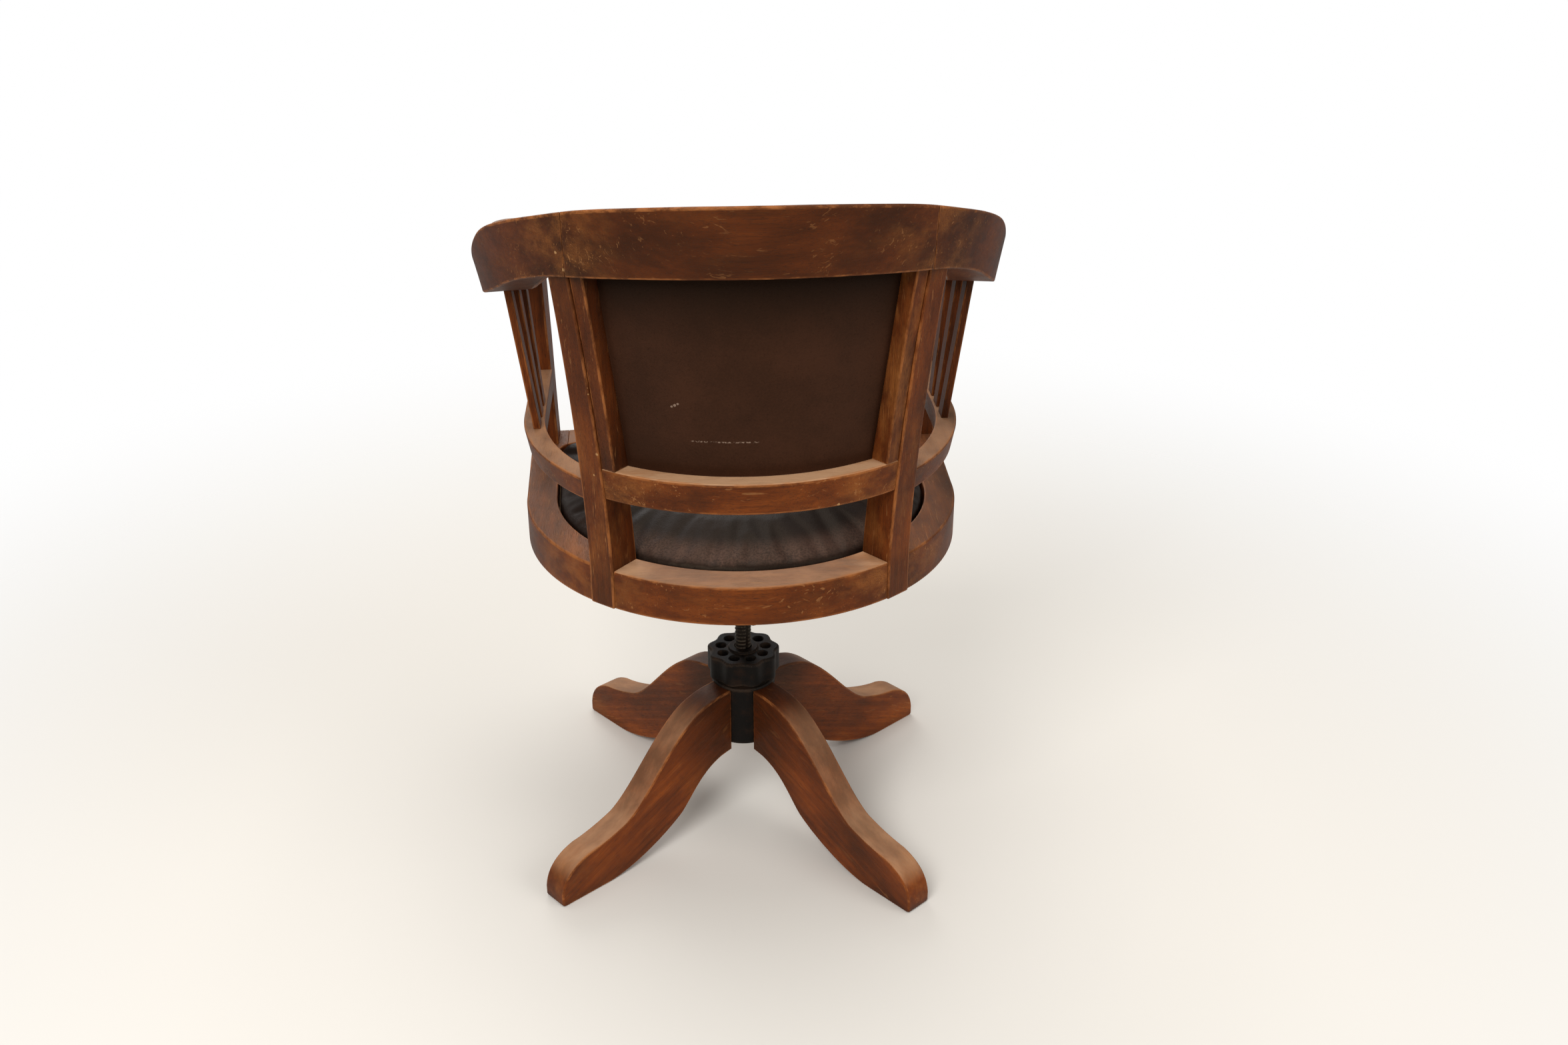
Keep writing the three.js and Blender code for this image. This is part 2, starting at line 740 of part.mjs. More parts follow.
function bowPoint(u, half, back, front) {
  const along01 = Math.abs(u);
  const side = u < 0 ? -1 : 1;
  if (along01 <= bowBend) {
    const turn = (along01 / bowBend) * quarterTurn;
    return new THREE.Vector2(side * half * Math.sin(turn), back * Math.cos(turn));
  }
  const forward = (along01 - bowBend) / (1 - bowBend);
  return new THREE.Vector2(side * mix(half, front, forward), -armFront * forward);
}

function bowBottomHeight(u) {
  return mix(crestBottom, armBottom, along(bowBottomShares, Math.abs(u)));
}

function bowTopHeight(u) {
  return mix(crestTop, armTop, along(bowTopShares, Math.abs(u)));
}

function bowRing(u) {
  const lower = bowPoint(u, bowLowerHalf, bowLowerBack, armSpread - armEdgeLean);
  const upper = bowPoint(u, bowUpperHalf, bowUpperBack, armSpread);
  const lowerFront = armSpread - armEdgeLean;
  const before = bowPoint(Math.max(u - tangentShare, -1), bowLowerHalf, bowLowerBack, lowerFront);
  const after = bowPoint(Math.min(u + tangentShare, 1), bowLowerHalf, bowLowerBack, lowerFront);
  const inward = after.sub(before).normalize().rotateAround(new THREE.Vector2(), -quarterTurn);
  const fromEnd = (1 - Math.abs(u)) * (bowQuarter + armFront);
  const lack = Math.max(armCorner - fromEnd, 0);
  const nip = armCorner - Math.sqrt(armCorner ** 2 - lack ** 2);
  const width = mix(crestWidth, armWidth, along(bowWidthShares, Math.abs(u)));
  const roll = along(bowRollShares, Math.abs(u));
  const bottom = bowBottomHeight(u);
  const top = bowTopHeight(u);
  const rise = top - bottom;
  const flare = -upper.clone().sub(lower).dot(inward);
  const point = (inset, height) => {
    const flat = lower.clone().addScaledVector(inward, inset);
    return new THREE.Vector3(flat.x, flat.y, height);
  };
  const topWidth = width + flare - bowArris;
  const rollStart = mix(nip - flare, topWidth - flare, rollStartShare);
  const rollEdge = topWidth - flare - nip - roll * rollEdgeShare * topWidth;
  const belly = width - nip - roll * rollBellyShare * width;
  const innerTop = top - 2 * bowArris;
  return [
    point(nip, bottom),
    point(nip - flare, top - bowArris),
    point(nip - flare + bowArris, top),
    point(rollStart, top - rollStartFallShare * roll * rise),
    point(rollEdge, top - rollEdgeFallShare * roll * rise),
    point(belly, mix(top - bowArris, bottom, rollBellyFallShare * roll)),
    point(width - nip, mix(innerTop, bottom + bowArris, Math.max(roll, innerEdgeShare))),
    point(width - nip - bowArris, bottom),
  ];
}

function bowSolid() {
  const ends = armEndShares.map((share) => (share * armCorner) / (bowQuarter + armFront));
  const inner = 1 - ends.at(-1);
  const left = [];
  for (let i = 1; i < bowSteps; i += 1) left.push((i / bowSteps) * inner);
  for (const end of ends.toReversed()) left.push(1 - end);
  const right = left.map((u) => -u).reverse();
  return loft([...right, 0, ...left].map(bowRing), right.length);
}

const bow = bowSolid();
const bowReach = Math.max(armSpread, bowUpperBack) + cutOver;
const bowRoom = bow.clone().translate(0, 0, -fitGap);

function makeBow() {
  const lay = (side, radius, length) =>
    stud(radius, side * crestHalf - length / 2, dowelHeight(), length).translate(0, dowelBack(), 0);
  const holes = [1, -1].map((side) => lay(side, dowelRadius + fitGap, dowelLength + 2 * fitGap));
  const drilled = cut(bow, ...holes);
  const low = armBottom - cutOver;
  const high = crestTop + cutOver;
  const middle = (half) => block(-half, half, 0, bowReach, low, high);
  add('crest_rail', keep(drilled, middle(crestHalf - fitGap / 2)), timber());
  const left = keep(drilled, block(0, bowReach, -bowReach, bowReach, low, high));
  const arm = cut(left, middle(crestHalf + fitGap / 2));
  add('arm_left', arm, timber());
  add('arm_right', mirrored(arm), timber());
  add('crest_dowel_left', lay(1, dowelRadius, dowelLength), panelWood());
  add('crest_dowel_right', lay(-1, dowelRadius, dowelLength), panelWood());
}

function dowelHeight() {
  const turn = Math.asin(crestHalf / bowLowerHalf);
  return bowBottomHeight((turn / quarterTurn) * bowBend) + dowelRise;
}

// The dowels lie in the middle of the crest's thickness
function dowelBack() {
  const share = dowelRise / (crestTop - crestBottom);
  const half = mix(bowLowerHalf, bowUpperHalf, share / 2) - crestWidth / 2;
  const back = mix(bowLowerBack, bowUpperBack, share / 2) - crestWidth / 2;
  return back * Math.sqrt(1 - (crestHalf / half) ** 2);
}

function makeUprights() {
  for (const [name, side] of [['left', 1], ['right', -1]]) {
    add(`rear_post_${name}`, cut(postSolid(side), bowRoom), timber());
    add(`back_stile_${name}`, cut(stileSolid(side), bowRoom), timber());
  }
}

// Lower back rail, between the posts
function makeMidRail() {
  const rings = [];
  const bottom = midRailTop - midRailHeight;
  for (let i = 0; i <= railSteps; i += 1) {
    const angle = mix(-postTurn, postTurn, i / railSteps) * radian;
    const at = (radius, height) =>
      new THREE.Vector3(radius * Math.sin(angle), radius * Math.cos(angle), height);
    rings.push([
      at(midRailRadius - midRailLean, bottom),
      at(midRailRadius, midRailTop),
      at(midRailRadius - midRailThick, midRailTop),
      at(midRailRadius - midRailThick, bottom),
    ]);
  }
  add('back_rail_lower', cut(loft(rings), uprightBlock(1), uprightBlock(-1)), timber());
}

// Side rails, bent round from the posts and straight to the front arm posts
function sideRailSolid() {
  const bottom = sideRailTop - sideRailHeight;
  const rings = [];
  const ring = (place) => [
    place(sideRailLean, bottom),
    place(0, sideRailTop),
    place(sideRailThick, sideRailTop),
    place(sideRailThick, bottom),
  ];
  for (let i = 0; i < railSteps; i += 1) {
    const angle = mix(sideRailStart, 90, i / (railSteps - 1)) * radian;
    rings.push(ring((inset, height) => new THREE.Vector3((sideRailHalf - inset) * Math.sin(angle),
      (sideRailBack - inset) * Math.cos(angle), height)));
  }
  const front = armPostBack - fitGap;
  rings.push(ring((inset, height) => new THREE.Vector3(sideRailHalf - inset, -front, height)));
  return cut(loft(rings), uprightBlock(1, cutOver));
}

function makeSideRails() {
  const rail = sideRailSolid();
  add('side_rail_left', rail, timber());
  add('side_rail_right', mirrored(rail), timber());
}

// Front arm posts: straight rear edge, front edge sweeping out to carry the arm
function makeArmPosts() {
  const foot = frameTop + fitGap;
  const insideArm = (armBottom + armTop) / 2;
  const rings = [];
  for (let i = 0; i <= armPostSteps; i += 1) {
    const share = i / armPostSteps;
    const height = mix(foot, insideArm, share);
    const low = share / armPostWaistShare;
    const high = (share - armPostWaistShare) / (1 - armPostWaistShare);
    const depth = low < 1
      ? mix(armPostDepth, armPostWaist, low ** armPostLowerSweep)
      : mix(armPostWaist, armPostHead, high ** armPostUpperSweep);
    const inner = armPostInner + armPostLean * share;
    const outer = inner + armPostThick;
    const back = -armPostBack;
    const front = back - depth;
    rings.push([
      [inner, back - postArris], [inner + postArris, back],
      [outer - postArris, back], [outer, back - postArris],
      [outer, front + postArris], [outer - postArris, front],
      [inner + postArris, front], [inner, front + postArris],
    ].map(([x, y]) => new THREE.Vector3(x, y, height)));
  }
  const post = cut(loft(rings), bowRoom);
  add('arm_post_left', post, timber());
  add('arm_post_right', mirrored(post), timber());
}

function makeSlats() {
  for (let i = 0; i < slatCount; i += 1) {
    const place = slatCount - 1 - i - (slatCount - 1) / 2;
    const y = place * slatPitch;
    const head = slatHeadHalf + slatHeadStep * place;
    const at = (half, height) => [
      [half - slatThick / 2, y - slatDepth / 2], [half + slatThick / 2, y - slatDepth / 2],
      [half + slatThick / 2, y + slatDepth / 2], [half - slatThick / 2, y + slatDepth / 2],
    ].map(([x, across]) => new THREE.Vector3(x, across, height));
    const slat = cut(loft([at(slatFootHalf, sideRailTop + fitGap), at(head, armTop)]), bowRoom);
    add(`arm_slat_left_${i + 1}`, slat, timber());
    add(`arm_slat_right_${i + 1}`, mirrored(slat), timber());
  }
}

// Back panel: rear leather, curved board and front pad, set between the stiles
const panelBottom = midRailTop + fitGap;

function panelFace(height) {
  return mix(panelFoot, panelHead, (height - midRailTop) / (crestBottom - midRailTop));
}

function panelTop(angle) {
  const turn = Math.atan2(Math.sin(angle) / bowLowerHalf, Math.cos(angle) / bowLowerBack);
  return bowBottomHeight((turn / (quarterTurn)) * bowBend) - fitGap;
}

function panelLayer(nearFace, farFace) {
  const span = postTurn * radian;
  const rings = [];
  for (let i = 0; i <= panelSteps; i += 1) {
    const angle = mix(-span, span, i / panelSteps);
    const top = panelTop(angle);
    const at = (inset, height) => {
      const radius = panelFace(height) - inset;
      return new THREE.Vector3(radius * Math.sin(angle), radius * Math.cos(angle), height);
    };
    rings.push([at(nearFace, panelBottom), at(nearFace, top), at(farFace, top), at(farFace, panelBottom)]);
  }
  const inward = stileWidth + 2 * fitGap;
  const room = (side) => uprightBlock(side, inward, cutOver, postDepth);
  return cut(loft(rings), room(1), room(-1), bowRoom);
}

function panelHalfSpan(height) {
  const across = postHalf(height) + stileWidth + 3 * fitGap - postLean(height);
  const radius = panelFace(height) - panelLeather - panelBoard;
  return postTurn * radian - across / radius;
}

function makeBack() {
  add('back_leather_rear', panelLayer(0, panelLeather), leather());
  const boardFace = panelLeather + fitGap;
  add('back_board', panelLayer(boardFace, boardFace + panelBoard), panelWood());
  const seat = boardFace + panelBoard + fitGap;
  const edge = [];
  const steps = panelSteps;
  for (let i = 0; i < steps; i += 1) edge.push([mix(-1, 1, i / steps), -1]);
  for (let i = 0; i < steps / 2; i += 1) edge.push([1, mix(-1, 1, i / (steps / 2))]);
  for (let i = 0; i < steps; i += 1) edge.push([mix(1, -1, i / steps), 1]);
  for (let i = 0; i < steps / 2; i += 1) edge.push([-1, mix(1, -1, i / (steps / 2))]);
  const place = (u, v, h) => {
    const middleTop = panelTop(0);
    const guess = mix(panelBottom, middleTop, (v + 1) / 2);
    const half = panelHalfSpan(guess) - backPadEdge / panelFoot;
    const angle = u * half;
    const top = panelTop(angle) - backPadEdge;
    const height = mix(panelBottom + backPadEdge, top, (v + 1) / 2);
    const radius = panelFace(height) - seat - h;
    return new THREE.Vector3(radius * Math.sin(angle), radius * Math.cos(angle), height);
  };
  add('back_pad', cushion(edge, backPadShares, backPadThick, backPadCrown, place), leather());
}

makeLegs();
makeColumn();
makeScrew();
makeWheel();
makeSpider();
makeSeatFrame();
makeSeatPad();
makeUprights();
makeBow();
makeMidRail();
makeSideRails();
makeArmPosts();
makeSlats();
makeBack();

// Stand the chair on the middle of its own footprint box
const box = new THREE.Box3().setFromObject(chair);
const centre = box.getCenter(new THREE.Vector3());
chair.position.set(-centre.x, -centre.y, -box.min.z);
chair.updateMatrixWorld(true);

export default chair;
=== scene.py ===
"""Bow-backed swivel desk chair: finished pieces, materials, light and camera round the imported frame."""
import math

import bmesh
import bpy
import numpy as np
from mathutils import Matrix, Vector


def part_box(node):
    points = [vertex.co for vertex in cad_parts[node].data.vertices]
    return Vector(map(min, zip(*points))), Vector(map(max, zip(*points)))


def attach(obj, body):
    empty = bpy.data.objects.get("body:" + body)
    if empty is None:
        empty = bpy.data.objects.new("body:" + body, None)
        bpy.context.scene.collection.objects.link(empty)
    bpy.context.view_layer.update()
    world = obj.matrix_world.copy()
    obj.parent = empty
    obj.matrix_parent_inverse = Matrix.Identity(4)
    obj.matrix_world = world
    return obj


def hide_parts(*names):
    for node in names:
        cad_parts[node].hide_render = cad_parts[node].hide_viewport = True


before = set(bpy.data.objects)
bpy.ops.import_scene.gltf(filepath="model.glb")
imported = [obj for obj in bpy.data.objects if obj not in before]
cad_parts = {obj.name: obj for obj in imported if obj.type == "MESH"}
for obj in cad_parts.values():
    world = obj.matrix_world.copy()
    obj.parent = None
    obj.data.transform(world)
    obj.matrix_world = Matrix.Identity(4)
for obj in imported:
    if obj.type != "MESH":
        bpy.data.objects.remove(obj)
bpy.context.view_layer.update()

# Sizes are in millimetres round the swivel axis, as the chair was drawn; MM turns them into metres
MM = 0.001
washer_low, washer_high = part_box("thrust_washer")
AXIS = np.array([0, (washer_low.y + washer_high.y) / 2, 0])
GAP = 0.3
# The order of the axes for a piece whose grain runs along one of them
ALONG_X, ALONG_Y, ALONG_Z = [0, 1, 2], [1, 0, 2], [2, 0, 1]

# Seat frame
FRAME_BOTTOM, FRAME_TOP, FRAME_RADIUS, FRAME_WIDTH = 397, 442, 250, 39
SIDE_SHARE, FRAME_FLARE, FRAME_SIDE, FRAME_CORNER, OPENING_CORNER = 0.9, 5, 180, 12, 26
FRAME_FRONT, FRONT_JOINT, REBATE, BOARD_TOP, PAD_GAP = 203, 210, 6, 412, 3
# The lines of its section: how far each is drawn in, the radius of its front corner and its height
FRAME_LINES = [(0, FRAME_CORNER, FRAME_BOTTOM), (0, FRAME_CORNER, FRAME_TOP),
               (FRAME_WIDTH, OPENING_CORNER, FRAME_TOP), (FRAME_WIDTH, OPENING_CORNER, BOARD_TOP + GAP),
               (FRAME_WIDTH - REBATE - GAP, OPENING_CORNER, BOARD_TOP + GAP),
               (FRAME_WIDTH - REBATE - GAP, OPENING_CORNER, FRAME_BOTTOM)]
FRAME_RADII = [2, 2, 1.6, 0.8, 0.5, 0.8]

# Rear posts
POST_TURN = math.radians(39.5)
POST_WIDTH, POST_TOP_WIDTH, POST_PROUD, POST_TOP_DEPTH, POST_SWEEP, POST_SPREAD = 32, 26, 1.2, 35, 1.6, 7

# Crest and arms, called the bow; the shares run from the middle of the crest to the end of an arm
CREST_BOTTOM, CREST_TOP, ARM_BOTTOM, ARM_TOP = 785.5, 859, 680, 707
BOW_HALF, BOW_BACK, BOW_SIDE_LEAN, BOW_BACK_LEAN = 279.5, 295, 9, 15
ARM_FRONT, ARM_SPREAD, ARM_EDGE_LEAN, CREST_WIDTH, ARM_WIDTH, ARM_CORNER = 236, 292.5, 4, 45, 84, 26
CREST_JOINT, BOW_ARRIS = 177, 3
CROWN_DROP, EDGE_DROP, EDGE_SET, BELLY_SET, BELLY_RISE = 0.13, 0.3, 0.28, 0.1, 0.62
TOP_SHARES = [0, 0.01, 0.043, 0.1, 0.195, 0.307, 0.452, 0.67, 0.886, 0.98, 1, 1, 1]
BOTTOM_SHARES = [0, 0.01, 0.043, 0.1, 0.18, 0.34, 0.57, 0.763, 0.886, 0.96, 1, 1, 1]
WIDTH_SHARES = [0, 0, 0, 0, 0.02, 0.06, 0.12, 0.2, 0.34, 0.62, 0.9, 1, 1]
ROLL_SHARES = [1, 1, 1, 1, 1, 0.95, 0.8, 0.5, 0.2, 0.05, 0, 0, 0]

# Lower back rail, side rails, back stiles and back panel, arm posts, slats
MID_TOP, MID_HEIGHT, MID_RADIUS, MID_LEAN, MID_THICK = 562, 35, 256.5, 3, 34
SIDE_TOP, SIDE_HEIGHT, SIDE_HALF, SIDE_BACK, SIDE_LEAN, SIDE_THICK = 542, 26, 247, 260, 5, 24
STILE_WIDTH, STILE_DEPTH, STILE_SET, STILE_EXTRA = 17, 25, 2, 12
PANEL_FOOT, PANEL_HEAD, PANEL_LEATHER, PANEL_BOARD, PANEL_SHARE = 239, 268, 3, 9, 0.86
ARM_POST_THICK, ARM_POST_INNER, ARM_POST_LEAN, ARM_POST_BACK = 32, 221, 9, 147
ARM_POST_DEPTHS = (44, 63, 80)
SLAT_THICK, SLAT_DEPTH, SLAT_PITCH, SLAT_FOOT, SLAT_HEAD, SLAT_STEP = 8, 21, 34.5, 229.5, 247, 4.3

# Column, legs, screw, hand wheel, spider
COLUMN_RADIUS, COLUMN_BOTTOM, COLUMN_TOP, COLUMN_BORE = 39, 107, 187, 15
LEG_THICK, LEG_ROOT_LOW, LEG_ROOT_HIGH, LEG_FIRST_TURN = 34, 99, 184, math.radians(45 - 5.8)
LEG_NODES = ["leg_rear_left", "leg_rear_right", "leg_front_right", "leg_front_left"]
SCREW_PITCH, SCREW_BOTTOM, SCREW_TOP, SCREW_CREST, SCREW_ROOT = 5, 92, 382.7, 9.95, 8.7
KEYWAY_TURN, KEYWAY_HALF, KEYWAY_RADIUS = math.radians(119), math.radians(11), 7.9
WHEEL_BOTTOM, WHEEL_TOP, WHEEL_WEB = 190.6, 224.6, 10
WHEEL_BORE, WHEEL_NUT, WHEEL_LIP, WHEEL_RIM = 10.5, 18, 38, 45
LOBES, LOBE_DEPTH, FIRST_LOBE, HOLE_CIRCLE, HOLE_RADIUS = 9, 4.5, math.radians(25), 28, 6.2
SPIDER_PLATE, SPIDER_BOSS, SPIDER_PIN, SPIDER_HALF, SPIDER_REACHES = 8, 46, 30, 16, [239, 233.5, 239, 192]

# The photograph's camera, in metres, and its lens
CAMERA_PLACE, CAMERA_LENS = (0.082422, 1.648516, 1.213156), 36.046
CAMERA_RIGHT, CAMERA_UP = Vector((-0.996973, 0.07772, 0.002117)), Vector((-0.032034, -0.435428, 0.899653))


# Curves and sections

def mix(a, b, share):
    return a + (b - a) * share


def oval(half, back, angle, *height):
    """The point of an oval round the axis, at an angle from straight back."""
    return (half * math.sin(angle), back * math.cos(angle), *height)


def unit(vector):
    return vector / np.linalg.norm(vector)


def smooth(value, low, high):
    share = np.clip((np.asarray(value, float) - low) / (high - low), 0, 1)
    return share * share * (3 - 2 * share)


def along(shares, u):
    """Value of a row of evenly spaced shares at u, smoothly."""
    last = len(shares) - 1
    place = u * last
    i = min(int(place), last)
    t = place - i
    p0, p1, p2, p3 = (shares[min(max(j, 0), last)] for j in (i - 1, i, i + 1, i + 2))
    v0, v1 = (p2 - p0) / 2, (p3 - p1) / 2
    return (2 * p1 - 2 * p2 + v0 + v1) * t ** 3 + (3 * p2 - 3 * p1 - 2 * v0 - v1) * t * t + v0 * t + p1


def spline(points, counts):
    """Smooth curve through the points, with so many samples in each span, the last point left out."""
    points = np.asarray(points, float)
    made = []
    for i, count in enumerate(counts):
        p0, p1, p2, p3 = (points[min(max(j, 0), len(points) - 1)] for j in (i - 1, i, i + 1, i + 2))
        reach = np.linalg.norm(p2 - p1)
        v0 = (p2 - p0) * reach / max(reach + np.linalg.norm(p1 - p0), 1e-6)
        v1 = (p3 - p1) * reach / max(np.linalg.norm(p3 - p2) + reach, 1e-6)
        for t in np.arange(count) / count:
            made.append((2 * t ** 3 - 3 * t * t + 1) * p1 + (t ** 3 - 2 * t * t + t) * v0
                        + (3 * t * t - 2 * t ** 3) * p2 + (t ** 3 - t * t) * v1)
    return made


def bezier(start, end, shares, count):
    """Bezier curve; the shares place its inner controls between start and end, the end left out."""
    start, end = np.array(start, float), np.array(end, float)
    controls = [mix(start, end, np.array(place)) for place in zip(shares[::2], shares[1::2])]
    made = []
    for t in np.arange(count) / count:
        row = [start, *controls, end]
        while len(row) > 1:
            row = [mix(a, b, t) for a, b in zip(row, row[1:])]
        made.append(row[0])
    return made


def rounded(corners, radii, reach=4.0, steps=4):
    """Ring of points with its corners rounded, and how near each point is to an edge, from 0 to 1."""
    corners = np.asarray(corners, float)
    points, wear = [], []
    for i, corner in enumerate(corners):
        if radii[i] == 0:
            points.append(corner)
            wear.append(0)
            continue
        before, after = corners[i - 1] - corner, corners[(i + 1) % len(corners)] - corner
        room_before, room_after = np.linalg.norm(before), np.linalg.norm(after)
        u, v = before / room_before, after / room_after
        half = math.acos(np.clip(u @ v, -1, 1)) / 2
        cut = min(radii[i] / math.tan(half), 0.42 * room_before, 0.42 * room_after)
        far_u, far_v = min(cut + reach, 0.49 * room_before), min(cut + reach, 0.49 * room_after)
        points += [corner + u * far_u, corner + u * mix(cut, far_u, 0.3)]
        bulge = math.sin(half)
        for t in np.arange(steps + 1) / steps:
            a, b, c = (1 - t) ** 2, 2 * t * (1 - t) * bulge, t * t
            points.append(corner + (u * a * cut + v * c * cut) / (a + b + c))
        points += [corner + v * mix(cut, far_v, 0.3), corner + v * far_v]
        wear += [0, 0.45] + [1] * (steps + 1) + [0.45, 0]
    return np.array(points), np.array(wear, float)


def inset(ring, amount):
    """The ring drawn in by amount, in its own plane."""
    before, after = np.roll(ring, 1, 0), np.roll(ring, -1, 0)
    normal = unit(np.cross(ring - ring.mean(0), after - ring.mean(0)).sum(0))
    tangent = after - before
    tangent /= np.maximum(np.linalg.norm(tangent, axis=1), 1e-9)[:, None]
    return ring + np.cross(normal, tangent) * amount


def eased(rings, wears, radii):
    """Rounds the two ends of a loft and adds what closes them neatly."""
    rings, wears = [np.asarray(r, float) for r in rings], [np.asarray(w, float) for w in wears]
    for radius in reversed(radii):
        rings.reverse()
        wears.reverse()
        outer = rings[0]
        away = rings[1] - outer
        room = np.linalg.norm(away, axis=1)
        away = away / np.maximum(room, 1e-9)[:, None]
        support = min(radius + 4, 0.6 * room.min())
        ring_at = lambda back, draw: inset(outer + away * back, draw)
        made = [(ring_at(support, 0), 0), (ring_at(mix(radius, support, 0.3), 0), 0.45)]
        for turn in np.radians([0, 30, 60, 90]):
            made.append((ring_at(radius * (1 - math.sin(turn)), radius * (1 - math.cos(turn))), 1))
        face = made[-1][0]
        made += [(mix(face, face.mean(0), 0.12), 0.2), (mix(face, face.mean(0), 0.35), 0)]
        rings = [r for r, _ in reversed(made)] + rings[1:]
        wears = [np.maximum(wears[0] if w < 1 and i < 2 else 0 * wears[0], w)
                 for i, (_, w) in reversed(list(enumerate(made)))] + wears[1:]
    return rings, wears


def meet(value, low, high):
    """Where a rising function of one number passes zero."""
    for _ in range(40):
        middle = (low + high) / 2
        if value(middle) < 0:
            low = middle
        else:
            high = middle
    return (low + high) / 2


# Making pieces

class Skin:
    """Points, faces and painted edges of one piece."""

    def __init__(self):
        self.points, self.arris, self.faces = [], [], []

    def loft(self, rings, wears=None, closed=False, capped=True):
        start, count, total = len(self.points), len(rings[0]), len(rings)
        for i, ring in enumerate(rings):
            self.points += [tuple(p) for p in ring]
            self.arris += list(wears[i]) if wears is not None else [0] * count
        at = lambda i, j: start + (i % total) * count + j % count
        for i in range(total if closed else total - 1):
            for j in range(count):
                self.faces.append((at(i, j), at(i, j + 1), at(i + 1, j + 1), at(i + 1, j)))
        if capped and not closed:
            self.faces.append(tuple(at(0, j) for j in reversed(range(count))))
            self.faces.append(tuple(at(total - 1, j) for j in range(count)))
        return self

    def turned(self, profile, radii, steps=64, shape=None, reach=2.0):
        """A closed outline of radii and heights, turned round the axis; shape may move its points."""
        ring, wear = rounded([(r, 0, z) for r, z in profile], radii, reach)
        rings = []
        for i in range(steps):
            angle = 2 * math.pi * i / steps
            radius = ring[:, 0] if shape is None else shape(ring[:, 0], angle)
            rings.append(np.column_stack([radius * math.cos(angle), radius * math.sin(angle), ring[:, 2]]))
        return self.loft(rings, [wear] * steps, closed=True)


def paint(mesh, name, values, kind="FLOAT"):
    """Writes a mask or the grain, one value or vector for each point."""
    layer = mesh.attributes.new(name, kind, "POINT").data
    layer.foreach_set("value" if kind == "FLOAT" else "vector", np.asarray(values, np.float32).ravel())


def mesh_of(skin, name):
    mesh = bpy.data.meshes.new(name)
    mesh.from_pydata((np.array(skin.points) * MM + AXIS).tolist(), [], skin.faces)
    paint(mesh, "arris", skin.arris)
    work = bmesh.new()
    work.from_mesh(mesh)
    bmesh.ops.remove_doubles(work, verts=work.verts, dist=1e-6)
    bmesh.ops.recalc_face_normals(work, faces=work.faces)
    work.to_mesh(mesh)
    work.free()
    return mesh


def in_millimetres(mesh):
    flat = np.zeros(len(mesh.vertices) * 3)
    mesh.vertices.foreach_get("co", flat)
    return (flat.reshape(-1, 3) - AXIS) / MM


def put_points(mesh, points):
    mesh.vertices.foreach_set("co", (points * MM + AXIS).astype(np.float32).ravel())
    mesh.update()


def placed(name, data):
    """A new object in the scene."""
    thing = bpy.data.objects.new(name, data)
    bpy.context.scene.collection.objects.link(thing)
    return thing


def applied(thing):
    """Puts the result of an object's modifiers into its mesh."""
    bpy.context.view_layer.update()
    made = bpy.data.meshes.new_from_object(thing.evaluated_get(bpy.context.evaluated_depsgraph_get()))
    thing.modifiers.clear()
    thing.data = made


def dress(mesh, node, ending, body, slot, finish, grain, sharp=40, **painters):
    """Makes the piece that is shown for a node. grain is an order of axes, or a function that lays the
    points out along the grain, and the painters are the strengths of grime with painted shade, of dust,
    and of bald patches with painted light."""
    name, nodes = f"{node}_{ending}", [node]
    points = in_millimetres(mesh)
    seed = sum(ord(letter) for letter in name)
    flow = points[:, grain] if isinstance(grain, list) else grain(points)
    offset = np.array([seed * 0.37 % 3, seed * 0.53 % 2, seed * 0.71 % 2])
    paint(mesh, "grain", flow * MM + offset, "FLOAT_VECTOR")
    for mask in ("grime", "dust", "bald"):
        strength = painters.get(mask, 0)
        paint(mesh, mask, np.zeros(len(points)) + (strength(*points.T) if callable(strength) else strength))
    if "arris" not in mesh.attributes:
        mesh.attributes.new("arris", "FLOAT", "POINT")
    mesh.polygons.foreach_set("use_smooth", [True] * len(mesh.polygons))
    mesh.set_sharp_from_angle(angle=math.radians(sharp))
    mesh.materials.clear()
    mesh.materials.append(finish)
    piece = placed(name, mesh)
    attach(piece, body)
    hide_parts(*nodes)
    return piece


# Shader arithmetic

class Signal:
    """A shader socket that can be used in sums."""

    def __init__(self, finish, socket):
        self.finish, self.socket = finish, socket

    def __add__(self, other):
        return self.finish.math("ADD", self, other)

    def __sub__(self, other):
        return self.finish.math("SUBTRACT", self, other)

    def __mul__(self, other):
        return self.finish.math("MULTIPLY", self, other)

    __radd__ = __add__
    __rmul__ = __mul__


